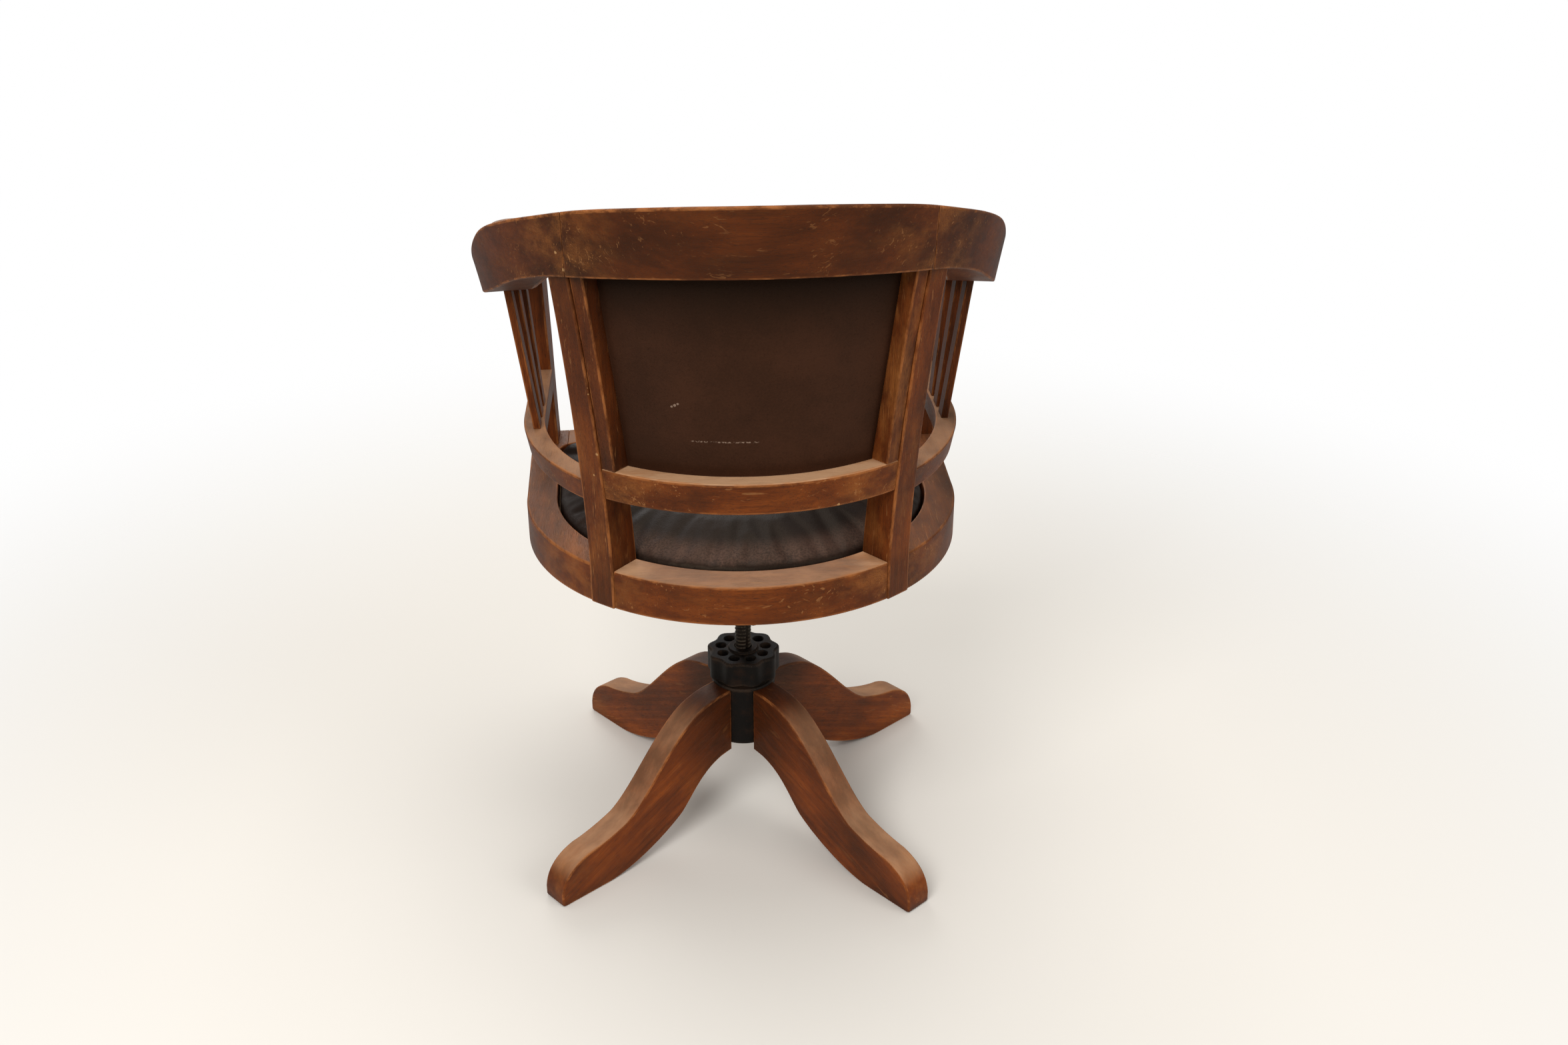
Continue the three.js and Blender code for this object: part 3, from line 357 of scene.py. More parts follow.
class Finish:
    """A material or a world, and the nodes that make it."""

    def __init__(self, name, kind="materials"):
        self.owner = getattr(bpy.data, kind).new(name)
        self.owner.use_nodes = True
        self.tree = self.owner.node_tree
        self.tree.nodes.clear()

    def node(self, kind, settings=None, values=None, output=0):
        made = self.tree.nodes.new("ShaderNode" + kind)
        for key, value in (settings or {}).items():
            setattr(made, key, value)
        for key, value in (values or {}).items():
            socket = made.inputs[key]
            if isinstance(value, Signal):
                self.tree.links.new(value.socket, socket)
            elif hasattr(socket.default_value, "__len__") and len(value) < len(socket.default_value):
                socket.default_value = (*value, 1)
            else:
                socket.default_value = value
        return Signal(self, made.outputs[output]) if len(made.outputs) else None

    def math(self, operation, *values):
        return self.node("Math", {"operation": operation}, dict(enumerate(values)))

    def painted(self, name, output="Fac"):
        """A mask that was painted on the points of the piece."""
        return self.node("Attribute", {"attribute_name": name}, output=output)

    def place(self):
        return self.node("TexCoord", output="Object")

    def part_of(self, vector, axis):
        return self.node("SeparateXYZ", {}, {0: vector}, output=axis)

    def noise(self, vector, scales, detail=3, rough=0.55, twist=0):
        scales = scales if isinstance(scales, tuple) else (scales, scales, scales)
        scaled = self.node("VectorMath", {"operation": "MULTIPLY"}, {0: vector, 1: scales})
        return self.node("TexNoise", {}, {"Vector": scaled, "Scale": 1, "Detail": detail,
                                                    "Roughness": rough, "Distortion": twist})

    def cells(self, vector, scale, feature="F1", output="Distance"):
        return self.node("TexVoronoi", {"feature": feature},
                         {"Vector": vector, "Scale": scale}, output=output)

    def between(self, value, low, high, start=0, end=1):
        """Rises smoothly from start to end as value goes from low to high."""
        return self.node("MapRange", {"interpolation_type": "SMOOTHSTEP"}, {
            "Value": value, "From Min": low, "From Max": high, "To Min": start, "To Max": end})

    def ramp(self, value, tints, depth):
        """The tints along value, each as many times darker as depth says."""
        made = self.node("ValToRGB", {}, {"Fac": value})
        stops = made.socket.node.color_ramp.elements
        while len(stops) < len(tints):
            stops.new(1)
        for stop, (place, tint) in zip(stops, tints):
            stop.position, stop.color = place, (*(c / depth for c in colour(*tint)), 1)
        return made

    def blend(self, first, second, share):
        return self.node("Mix", {"data_type": "RGBA"}, {0: share, 6: first, 7: second}, output=2)

    def layered(self, base, layers):
        """Tints laid over the base one after another, each with its share."""
        for tint, share in layers:
            base = self.blend(base, colour(*tint), share)
        return base

    def bump(self, height, distance, strength, normal=None):
        values = {"Height": height, "Distance": distance, "Strength": strength}
        if normal is not None:
            values["Normal"] = normal
        return self.node("Bump", {}, values)

    def surface(self, **values):
        shader = self.node("BsdfPrincipled", {},
                           {key.replace("_", " "): value for key, value in values.items()})
        self.node("OutputMaterial", {}, {"Surface": shader})
        return self.owner


def colour(red, green, blue):
    """A colour as the eye names it, turned into light values."""
    return tuple(((c / 255 + 0.055) / 1.055) ** 2.4 if c > 10 else c / 255 / 12.92
                 for c in (red, green, blue))


WARM_SHEEN = (1, 0.77, 0.54, 1)
# Small pale chips in the stain: x, y, z of each in millimetres round the swivel axis, and its radius
CHIPS = [(184.2, 228.4, 796.1, 1.8), (177.6, 229.8, 779.5, 2), (162.3, 212.3, 652.7, 1.1),
         (162, 211.5, 646, 1.1), (156.9, 206.5, 578.7, 1.7), (161.1, 200.1, 553, 1.4),
         (-87.6, 238, 529, 2)]
# Small pale marks on the leather of the back, the same way, and a scratch: its ends and its height
RUBS = [(79.6, 235.6, 640.3, 1.5), (76.6, 236.8, 641.9, 1.8), (73.6, 238, 643.7, 1.4)]
SCRATCH_LEFT, SCRATCH_RIGHT, SCRATCH_HEIGHT = 59, -4, 603


def marked(finish, places):
    """A mask round each of the given places, with a ragged edge."""
    place = finish.place()
    ragged = finish.noise(place, 600, 2)
    mask = None
    for x, y, z, radius in places:
        far = finish.node("VectorMath", {"operation": "DISTANCE"},
                          {0: place, 1: tuple(np.array([x, y, z]) * MM + AXIS)}, output="Value")
        spot = finish.between(far * (0.55 + 0.9 * ragged), radius * MM, radius * 0.6 * MM)
        mask = spot if mask is None else finish.math("MAXIMUM", mask, spot)
    return mask


def stained_timber(name, depth):
    """Old stained and varnished wood; depth is how dark its stain is."""
    wood = Finish(name)
    grain = wood.painted("grain", "Vector")
    up = wood.part_of(wood.node("NewGeometry", output="Normal"), "Z")
    arris, grime, dusty, thin_and_lit = (wood.painted(mask) for mask in ("arris", "grime", "dust", "bald"))
    grained = lambda along, across, *rest: wood.noise(grain, (along, across, across), *rest)
    broad, mottle, bands = grained(7, 16, 2), grained(26, 55, 4, 0.6), grained(5, 170, 4, 0.55, 0.35)
    fibre, pores = grained(30, 900, 3, 0.6), wood.between(grained(110, 2300, 1, 0.5), 0.58, 0.68)
    stain = wood.ramp(broad * 0.5 + mottle * 0.25 + bands * 0.25,
                      [(0.3, (50, 21, 8)), (0.43, (73, 32, 11)), (0.53, (95, 43, 14)),
                       (0.66, (124, 61, 20)), (0.8, (152, 82, 31))], depth)
    patchy = wood.between(mottle * 0.6 + broad * 0.7, 0.45, 0.85, 0.55, 1.15)
    dust = wood.between(up, 0.45, 0.93) * dusty * patchy
    chafe = grained(34, 120, 4, 0.7) + broad * 0.5
    worn = wood.between(arris, 0.55, 1) * wood.between(chafe, 0.66, 0.92, 0.06, 0.6)
    bald = wood.between(grained(15, 30, 4, 0.65) + thin_and_lit * 0.1, 0.48, 0.76)
    scratch = wood.between(wood.noise(grain, (22, 420, 160), 2, 0.5, 1.6), 0.62, 0.68)
    chance = wood.part_of(wood.cells(grain, 46, output="Color"), "X")
    fleck = wood.between(wood.cells(grain, 46), 0.04, 0.02)
    # Dark fibres and pores, grime with painted shade, then dust, bald patches with painted light, scores,
    # rubbed arrises, chips and flecks
    shown = wood.layered(stain, [
        ((42, 19, 9), wood.between(fibre, 0.5, 0.75) * 0.45),
        ((26, 12, 6), pores * 0.5),
        # Grime, and on some pieces painted shade: one side darker where less light falls, and the seat's
        # shadow on the legs
        ((24, 13, 7), grime * wood.between(mottle, 0.3, 0.6, 0.4, 0.9)),
        ((190, 148, 112), dust),
        # Bald patches, and on the right stile a painted light that makes it paler
        ((152, 92, 42), bald * wood.between(fibre, 0.3, 0.6, 0.35, 1) * thin_and_lit * 0.6),
        ((164, 112, 66), scratch * wood.between(mottle, 0.45, 0.6) * wood.between(thin_and_lit, 0, 0.3) * 0.45),
        ((166, 102, 54), worn),
        ((176, 134, 88), marked(wood, CHIPS) * 0.85),
        ((214, 200, 180), fleck * wood.between(chance, 0.95, 0.96) * wood.between(up, 0.6, 0.9))])
    relief = fibre * 0.35 - pores * 0.6 + bands * 0.4
    return wood.surface(Base_Color=shown, Roughness=0.4 + 0.2 * mottle + 0.25 * dust + 0.12 * worn,
                        Normal=wood.bump(relief, 0.0003, 0.7, wood.bump(mottle, 0.0012, 0.35)),
                        Specular_IOR_Level=0.2, Specular_Tint=WARM_SHEEN)


def bare_wood(name, depth):
    """Unfinished board, made as many times darker as depth says; on the back board that darkening is
    painted shade.
    """
    wood = Finish(name)
    place = wood.place()
    bands, fibre = wood.noise(place, (6, 120, 120), 4), wood.noise(place, (40, 900, 900), 3)
    tints = [(0.3, (116, 84, 52)), (0.5, (146, 110, 70)), (0.7, (168, 131, 88))]
    return wood.surface(Base_Color=wood.ramp(bands * 0.6 + fibre * 0.4, tints, depth),
                        Roughness=0.6 + 0.2 * fibre, Normal=wood.bump(fibre, 0.0002, 0.6))


def scratched(leather, fine):
    """A mask of the scratch across the back, broken by a fine noise."""
    across, height = (leather.part_of(leather.place(), axis) for axis in "XZ")
    off_line = leather.math("ABSOLUTE", height - SCRATCH_HEIGHT * MM)
    return (leather.between(off_line, 1.1 * MM, 0.3 * MM) * leather.between(fine, 0.44, 0.58)
            * leather.between(across, (SCRATCH_RIGHT - 3) * MM, SCRATCH_RIGHT * MM)
            * leather.between(across, (SCRATCH_LEFT + 3) * MM, SCRATCH_LEFT * MM))


def hide(name, deep, pale, worn, rough, scarred):
    """Leather with a fine pebble, paler under a painted sheen on the seat's rear edge and creases, and
    darker under the painted shade of the crest on the back panel.
    """
    leather = Finish(name)
    flow = leather.painted("grain", "Vector")
    arris, grime = leather.painted("arris"), leather.painted("grime")
    pebble = leather.cells(flow, 780, "SMOOTH_F1")
    creases, cloud = leather.noise(flow, 150, 4, 0.6, 0.6), leather.noise(flow, 13, 4, 0.6)
    fine = leather.noise(flow, 420, 3)
    base = leather.blend(deep, pale, leather.between(cloud * 0.7 + fine * 0.3, 0.34, 0.66))
    cracked = leather.blend(base, tuple(c * 0.45 for c in deep), leather.between(pebble, 0.55, 0.9) * 0.5)
    # Painted shade where the grime mask is painted, which is under the crest on the back panel
    dark = leather.blend(cracked, tuple(c * 0.25 for c in deep), grime)
    patchy = leather.between(fine * 0.6 + cloud * 0.4, 0.35, 0.6, 0.35, 1)
    # Painted sheen: the pale tint where the arris mask is painted, which on the seat is its rear edge and
    # creases
    rubbed_and_sheen = leather.blend(dark, worn, arris * patchy)
    if scarred:
        marks = leather.math("MAXIMUM", scratched(leather, fine), marked(leather, RUBS)) * 0.55
        rubbed_and_sheen = leather.layered(rubbed_and_sheen, [((160, 136, 118), marks)])
    normal = leather.bump(pebble * -0.7 + creases * 0.5, 0.00035, 0.55, leather.bump(cloud, 0.003, 0.25))
    return leather.surface(Base_Color=rubbed_and_sheen, Normal=normal,
                           Roughness=rough + 0.2 * cloud + 0.1 * leather.between(pebble, 0.3, 0.8),
                           Specular_IOR_Level=0.14, Specular_Tint=WARM_SHEEN)


def iron(name, deep, rubbed_and_sheen, metal):
    """Old iron, nearly black, with a little brown and rubbed edges."""
    cast = Finish(name)
    place, arris = cast.place(), cast.painted("arris")
    pits, stains = cast.noise(place, 620, 4, 0.6), cast.noise(place, 45, 4, 0.6)
    base = cast.blend(deep, colour(38, 24, 15), cast.between(stains, 0.45, 0.72))
    shown = cast.blend(base, rubbed_and_sheen, arris * cast.between(pits + stains, 0.85, 1.15, 0.1, 0.6))
    return cast.surface(Base_Color=shown, Metallic=metal, Roughness=0.45 + 0.3 * stains,
                        Normal=cast.bump(pits, 0.0004, 0.5), Specular_IOR_Level=0.2)


TIMBER = stained_timber("stained_timber", 1)
LEG_TIMBER = stained_timber("leg_timber", 0.72)
BARE = bare_wood("bare_wood", 1)
# The back board is darkened sixfold: painted shade on the strip of it that shows
SHADED_BOARD = bare_wood("shaded_board", 6)
PANEL_HIDE = hide("panel_leather", colour(46, 25, 15), colour(58, 33, 21), colour(104, 72, 52), 0.55, True)
SEAT_HIDE = hide("seat_leather", colour(19, 11, 8), colour(29, 18, 14), colour(78, 56, 46), 0.36, False)
CAST_IRON = iron("cast_iron", colour(15, 11, 8), colour(62, 48, 36), 0.4)
STEEL = iron("dark_steel", colour(42, 36, 30), colour(120, 108, 94), 0.8)


# Timber of the seat: a section is a ring of points and how worn each of them is

def timber(name, sections, grain, radii=(0.6, 0.6), **painters):
    skin = Skin().loft(*eased(*zip(*sections), radii))
    dress(mesh_of(skin, name), name, "worn", "seat", "timber", TIMBER, grain, **painters)


def mirrored(sections):
    return [(ring * np.array([-1, 1, 1]), wear) for ring, wear in sections]


def pair(name, sections, grain, radii=(0.6, 0.6), **painters):
    """A left piece and its mirror image."""
    timber(name.format("left"), sections, grain, radii, **painters)
    timber(name.format("right"), mirrored(sections), grain, radii, **painters)


# Rear posts

def swept_share(height):
    return max((height - FRAME_TOP) / (CREST_BOTTOM - FRAME_TOP), 0)


def post_face(height):
    head = math.hypot(*oval(BOW_HALF, BOW_BACK, POST_TURN)) - BOW_ARRIS
    return mix(FRAME_RADIUS + POST_PROUD, head, swept_share(height) ** POST_SWEEP)


def post_half(height):
    return mix(POST_WIDTH, POST_TOP_WIDTH, swept_share(height)) / 2


def post_depth(height):
    return mix(FRAME_WIDTH + POST_PROUD, POST_TOP_DEPTH, swept_share(height))


def post_lean(height):
    return POST_SPREAD * swept_share(height)


def post_point(radius, across, height):
    sine, cosine = math.sin(POST_TURN), math.cos(POST_TURN)
    out = across + post_lean(height)
    return np.array([radius * sine + out * cosine, radius * cosine - out * sine, height])


def across_post(x, y, height):
    return x * math.cos(POST_TURN) - y * math.sin(POST_TURN) - post_lean(height)


# Crest and arms

# Length of the bend from the middle of the crest to where an arm runs straight, then of the whole half
BOW_QUARTER = math.pi / 2 * math.hypot(BOW_HALF + BOW_SIDE_LEAN, BOW_BACK + BOW_BACK_LEAN) / math.sqrt(2)
BOW_LENGTH = BOW_QUARTER + ARM_FRONT
BOW_BEND = BOW_QUARTER / BOW_LENGTH


def bow_point(u, half, back, front):
    if u <= BOW_BEND:
        return np.array(oval(half, back, u / BOW_BEND * math.pi / 2))
    forward = (u - BOW_BEND) / (1 - BOW_BEND)
    return np.array([mix(half, front, forward), -ARM_FRONT * forward])


def bow_low(u):
    return bow_point(u, BOW_HALF, BOW_BACK, ARM_SPREAD - ARM_EDGE_LEAN)


def bow_ahead(u):
    return bow_low(min(u + 1e-3, 1)) - bow_low(max(u - 1e-3, 0))


def bow_bottom(u):
    return mix(CREST_BOTTOM, ARM_BOTTOM, along(BOTTOM_SHARES, u))


def bow_underside(x, y):
    """Height of the underside of crest and arms over a point."""
    place = np.array([abs(x), y])
    return bow_bottom(meet(lambda u: (bow_low(u) - place) @ bow_ahead(u), 0, 1))


def bow_section(u):
    """Cross section of the bow at u: outer face, rounded top that rolls over at the crest, inner face."""
    lower = bow_low(u)
    upper = bow_point(u, BOW_HALF + BOW_SIDE_LEAN, BOW_BACK + BOW_BACK_LEAN, ARM_SPREAD)
    ahead = bow_ahead(u)
    inward = unit(np.array([ahead[1], -ahead[0]]))
    lack = max(ARM_CORNER - (1 - u) * BOW_LENGTH, 0)
    nip = ARM_CORNER - math.sqrt(ARM_CORNER ** 2 - lack ** 2)
    width = mix(CREST_WIDTH, ARM_WIDTH, along(WIDTH_SHARES, u))
    roll = along(ROLL_SHARES, u)
    bottom, top = bow_bottom(u), mix(CREST_TOP, ARM_TOP, along(TOP_SHARES, u))
    rise = top - bottom
    flare = -(upper - lower) @ inward
    point = lambda depth, height: np.array([*(lower + inward * depth), height])
    top_width = width + flare - BOW_ARRIS
    outer_top = point(nip - flare, top)
    crown = point(mix(nip - flare, top_width - flare, 0.45), top - CROWN_DROP * roll * rise)
    edge = point(top_width - flare - nip - roll * EDGE_SET * top_width, top - EDGE_DROP * roll * rise)
    belly = point(width - nip - roll * BELLY_SET * width, mix(top - BOW_ARRIS, bottom, BELLY_RISE * roll))
    inner = point(width - nip, mix(top - 2 * BOW_ARRIS, bottom + BOW_ARRIS, max(roll, 0.7)))
    rolled = spline([mix(outer_top, crown, 0.4), crown, edge, belly, inner], [4, 6, 6, 6])
    ring, wear = rounded([point(nip, bottom), outer_top, *rolled, inner, point(width - nip, bottom)],
                         [2, 2.2] + [0] * (len(rolled) + 1) + [2.5])
    # Two rounded corners of nine points and two spans of the roll come before its edge
    edge_index = 2 * 9 + 4 + 6
    for i in range(-3, 7):
        wear[edge_index + i] = max(wear[edge_index + i], (1 - roll) * (1 - abs(i - 2) / 6))
    return ring, wear


def make_bow():
    samples = np.linspace(0, 1, 500)
    lines, wears = (np.array(parts) for parts in zip(*(bow_section(u) for u in samples)))
    count = lines.shape[1]
    rear = samples < BOW_BEND

    def section_at(us):
        points = [[np.interp(u, samples, lines[:, k, a]) for a in range(3)] for k, u in enumerate(us)]
        return np.array(points), np.array([np.interp(u, samples, wears[:, k]) for k, u in enumerate(us)])

    def cut_at(x):
        """Where each line of the bow passes the plane at x."""
        return np.array([np.interp(x, lines[rear, k, 0], samples[rear]) for k in range(count)])

    half = [section_at(cut_at(x)) for x in np.linspace(0, CREST_JOINT - GAP / 2, 34)]
    # The crest is darker overall and low near both ends; its left end is darker still by painted shade
    timber("crest_rail", mirrored(half[:0:-1]) + half, ALONG_X, (0.5, 0.5),
           grime=lambda x, y, z: (0.36 + 0.35 * smooth(abs(x), 120, 176) * smooth(z, 840, 780)
                                  + 0.22 * smooth(x, 60, 150)),
           bald=lambda x, y, z: 0.15 + 0.5 * smooth(abs(x), 110, 170))
    start = cut_at(CREST_JOINT + GAP / 2)
    tail = 1 - ARM_CORNER * (1 - np.sin(np.linspace(0, 1, 12) * math.pi / 2)) / BOW_LENGTH
    arm = [section_at(mix(start, tail[0], share)) for share in np.linspace(0, 1, 80)]
    arm += [section_at(np.full(count, u)) for u in tail[1:]]
    # The arms are darker near the crest joint; the left arm is darker still by painted shade
    pair("arm_{}", arm, ALONG_Y, (0.5, 2.2),
         grime=lambda x, y, z: (0.2 + 0.3 * smooth(abs(x), 250, 178) * smooth(y, 130, 190)
                                + 0.2 * smooth(x, 0, 150)),
         dust=lambda x, y, z: mix(0.05, 0.3, smooth(abs(x), 205, 260)),
         bald=lambda x, y, z: 0.15 + 0.6 * smooth(abs(x), 245, 200))


# Uprights

def risen(corners_at, foot, near_top, steps, radii, reach=4.0):
    """Sections of an upright whose four corners rise from the foot, each to the underside of the bow."""
    tops = [bow_underside(x, y) - GAP for x, y, _ in corners_at(near_top)]
    return [rounded([corners_at(mix(foot, top, share))[k] for k, top in enumerate(tops)], radii, reach)
            for share in np.linspace(0, 1, steps)]


def beside_post(faces, sides):
    """Corners of a post or a stile, from its inner and outer face and its two sides at a height."""
    return lambda z: [post_point(faces(z)[i], sides(z)[j], z) for i, j in ((0, 0), (1, 0), (1, 1), (0, 1))]


def make_rear_posts():
    corners_at = beside_post(lambda z: (post_face(z) - post_depth(z), post_face(z)),
                             lambda z: (-post_half(z), post_half(z)))
    radii = [1.5, 1.8, 1.8, 1.5]
    sections = [rounded(corners_at(z), radii)
                for z in (FRAME_BOTTOM, FRAME_BOTTOM + 15, FRAME_TOP - 12, FRAME_TOP)]
    sections += risen(corners_at, FRAME_TOP + 12, CREST_BOTTOM, 26, radii)
    # The posts are darker near the seat frame and just under the crest; the left post is darker still by
    # painted shade
    pair("rear_post_{}", sections, ALONG_Z, (1.5, 0.5),
         grime=lambda x, y, z: (0.4 * smooth(z, 470, 430) + 0.4 * smooth(z, 745, 775)
                                + 0.25 * smooth(x, 0, 100)),
         bald=lambda x, y, z: 0.2 + 0.5 * smooth(z, 620, 560) * smooth(z, 430, 470))


def make_stiles():
    side = lambda z: -post_half(z) - GAP
    face = lambda z: post_face(z) - STILE_SET
    corners_at = beside_post(lambda z: (face(z) - STILE_DEPTH - STILE_EXTRA * swept_share(z), face(z)),
                             lambda z: (side(z) - STILE_WIDTH, side(z)))
    # The right stile is paler by painted light and the left one darker by painted shade; both are darker
    # near the lower back rail and just under the crest
    pair("back_stile_{}", risen(corners_at, MID_TOP + GAP, CREST_BOTTOM, 22, [1.2, 1.5, 1.5, 1.2]), ALONG_Z,
         (0.5, 0.5), bald=lambda x, y, z: 0.2 + 0.7 * smooth(x, 0, -100),
         grime=lambda x, y, z: (0.4 * smooth(z, 600, 564) + 0.4 * smooth(z, 745, 775)
                                + 0.4 * smooth(x, 0, 100)))


def make_arm_posts():
    foot, head = FRAME_TOP + GAP, (ARM_BOTTOM + ARM_TOP) / 2
    low, middle, high = ARM_POST_DEPTHS

    def corners_at(height):
        share = (height - foot) / (head - foot)
        inner = ARM_POST_INNER + ARM_POST_LEAN * share
        outer, back = inner + ARM_POST_THICK, -ARM_POST_BACK
        swelled = (mix(low, middle, (share / 0.5) ** 1.5) if share < 0.5
                   else mix(middle, high, ((share - 0.5) / 0.5) ** 1.3))
        front = back - swelled
        return [(*p, height) for p in ((inner, back), (outer, back), (outer, front), (inner, front))]
    sections = risen(corners_at, foot, mix(foot, head, 0.94), 30, [2, 2, 3, 3])
    pair("arm_post_{}", sections, ALONG_Z, (0.6, 0.5))


def make_slats():
    foot = SIDE_TOP + GAP
    for i in range(3):
        place = 1 - i

        def corners_at(height):
            x = mix(SLAT_FOOT, SLAT_HEAD + SLAT_STEP * place, (height - foot) / (ARM_TOP - foot))
            return [(x + a * SLAT_THICK / 2, place * SLAT_PITCH + b * SLAT_DEPTH / 2, height)
                    for a, b in ((-1, -1), (1, -1), (1, 1), (-1, 1))]
        pair("arm_slat_{}_" + str(i + 1), risen(corners_at, foot, ARM_BOTTOM, 8, [1.3] * 4, 2.2), ALONG_Z,
             (0.5, 0.5))


# Seat frame and rails

def frame_bend(inset_by, angle):
    """Plan of the seat frame behind the axis, at an angle from straight back."""
    return oval(FRAME_RADIUS - inset_by * SIDE_SHARE, FRAME_RADIUS - inset_by, angle)


def frame_side(inset_by):
    """How wide the sides of the seat frame are at their front ends."""
    return FRAME_RADIUS + FRAME_FLARE - inset_by * SIDE_SHARE


def frame_front(inset_by, corner, x):
    """Plan of the front of the seat frame: y at x."""
    side, front = frame_side(inset_by), FRAME_SIDE + FRAME_CORNER - inset_by
    turned = 1 + (abs(x) - side) / corner
    if turned > 0:
        return -(front + corner * (math.sin(math.acos(min(turned, 1))) - 1))
    return -(front + (FRAME_FRONT - FRAME_SIDE - FRAME_CORNER) * (1 - (x / (side - corner)) ** 2))


def frame_angle(inset_by, across):
    """Where the bend behind meets a line at some distance beside the middle of the post."""
    return meet(lambda a: across_post(*frame_bend(inset_by, a), FRAME_TOP) - across, 0, math.pi / 2)


def frame_sections(place, shares):
    """Sections of the seat frame; place gives the point of the plan for each of its lines at a share."""
    return [rounded([(*place(share, k, inset_by, corner), z)
                     for k, (inset_by, corner, z) in enumerate(FRAME_LINES)], FRAME_RADII)
            for share in shares]


def make_seat_frame():
    beside = POST_WIDTH / 2 + GAP
    ends = [frame_angle(line[0], -beside) for line in FRAME_LINES]
    starts = [frame_angle(line[0], beside) for line in FRAME_LINES]

    def rear(share, k, inset_by, corner):
        return frame_bend(inset_by, share * ends[k])

    def bend(share, k, inset_by, corner):
        return frame_bend(inset_by, mix(starts[k], math.pi / 2, share))

    def straight(share, k, inset_by, corner):
        front = FRAME_SIDE + FRAME_CORNER - inset_by
        return frame_side(inset_by) - FRAME_FLARE * (1 - share), -(front - corner) * share

    def front(x, k, inset_by, corner):
        return x, frame_front(inset_by, corner, x)

    def turn(share, k, inset_by, corner):
        x = mix(frame_side(inset_by), FRONT_JOINT + GAP / 2, 1 - math.cos(share * math.pi / 2))
        return front(x, k, inset_by, corner)
    timber("seat_rail_rear", frame_sections(rear, np.linspace(-1, 1, 49)), ALONG_X,
           grime=lambda x, y, z: 0.35 * smooth(abs(x), 105, 150) * smooth(z, 440, 405),
           dust=lambda x, y, z: 0.42 + 0.5 * smooth(abs(x), 98, 130),
           bald=lambda x, y, z: 0.25 + 0.75 * smooth(-x, 55, 105) + 0.3 * smooth(x, 80, 110))
    sections = frame_sections(bend, np.linspace(0, 1, 26))
    sections += frame_sections(straight, np.linspace(0, 1, 8)[1:])
    sections += frame_sections(turn, np.linspace(0, 1, 16)[1:])
    pair("seat_rail_{}", sections, ALONG_Y, (0.6, 0.5), dust=0.12,
         grime=lambda x, y, z: 0.4 * smooth(y, 130, 190) * smooth(z, 440, 405),
         bald=lambda x, y, z: 0.2 + 0.6 * smooth(y, 80, 150))
    across = np.sin(np.linspace(-1, 1, 41) * math.pi / 2) * (FRONT_JOINT - GAP / 2)
    timber("seat_rail_front", frame_sections(front, across), ALONG_X, (0.5, 0.5), dust=0.3)


def make_back_rail():
    lines = [(MID_RADIUS - MID_LEAN, MID_TOP - MID_HEIGHT), (MID_RADIUS, MID_TOP),
             (MID_RADIUS - MID_THICK, MID_TOP), (MID_RADIUS - MID_THICK, MID_TOP - MID_HEIGHT)]
    ends = [POST_TURN - math.asin((post_half(z) + GAP - post_lean(z)) / radius) for radius, z in lines]
    sections = [rounded([oval(radius, radius, share * end, z) for (radius, z), end in zip(lines, ends)],
                        [2.2, 2.2, 1.5, 1.5]) for share in np.linspace(-1, 1, 49)]
    timber("back_rail_lower", sections, ALONG_X,
           dust=lambda x, y, z: 1.25 + 0.35 * smooth(abs(x), 95, 125),
           bald=lambda x, y, z: 0.25 + 0.8 * smooth(abs(x), 70, 115))


def make_side_rails():
    lines = [(SIDE_LEAN, SIDE_TOP - SIDE_HEIGHT), (0, SIDE_TOP), (SIDE_THICK, SIDE_TOP),
             (SIDE_THICK, SIDE_TOP - SIDE_HEIGHT)]
    place = lambda inset_by, z, angle: oval(SIDE_HALF - inset_by, SIDE_BACK - inset_by, angle, z)
    starts = [meet(lambda angle: across_post(*place(*line, angle)) - post_half(line[1]) - GAP,
                   0, math.pi / 2) for line in lines]
    plans = [[place(*line, mix(start, math.pi / 2, share)) for line, start in zip(lines, starts)]
             for share in np.linspace(0, 1, 32)]
    plans += [[(SIDE_HALF - i, -(ARM_POST_BACK - GAP) * share, z) for i, z in lines]
              for share in np.linspace(0, 1, 10)[1:]]
    pair("side_rail_{}", [rounded(corners, [1.8, 1.8, 1.5, 1.5]) for corners in plans], ALONG_Y,
         dust=0.5, bald=0.4)


# Legs

def leg_outline():
    """Side view of a leg: along the arch to the foot, round the toe, over the top and down the root."""
    root = COLUMN_RADIUS + GAP
    foot, arch, heel, toe = (root, LEG_ROOT_LOW), (118, 44), (237, 0), (303, 14)
    instep, waist, shoulder, head = (262, 57), (205, 72), (92, 173), (root, LEG_ROOT_HIGH)
    points = bezier(foot, arch, [0.55, 0.12, 0.72, 0.62], 18)
    points += bezier(arch, heel, [0.25, 0.5, 0.7, 1], 22)
    points += [(x, 0) for x in (237, 250, 264, 278, 290, 297)]
    points += [(300.2, 0.2), (302.2, 1.3), (303, 3.4), (303, 9)]
    points += bezier(toe, instep, [0.08, 0.76], 11)
    points += bezier(instep, waist, [0.45, 0.2], 10)
    points += bezier(waist, shoulder, [0.3, 0.17, 0.62, 0.78], 18)
    points += bezier(shoulder, head, [0.45, 1], 10)
    points += [(root, mix(LEG_ROOT_HIGH, LEG_ROOT_LOW, share)) for share in (0, 0.25, 0.5, 0.75)]
    return np.array(points)


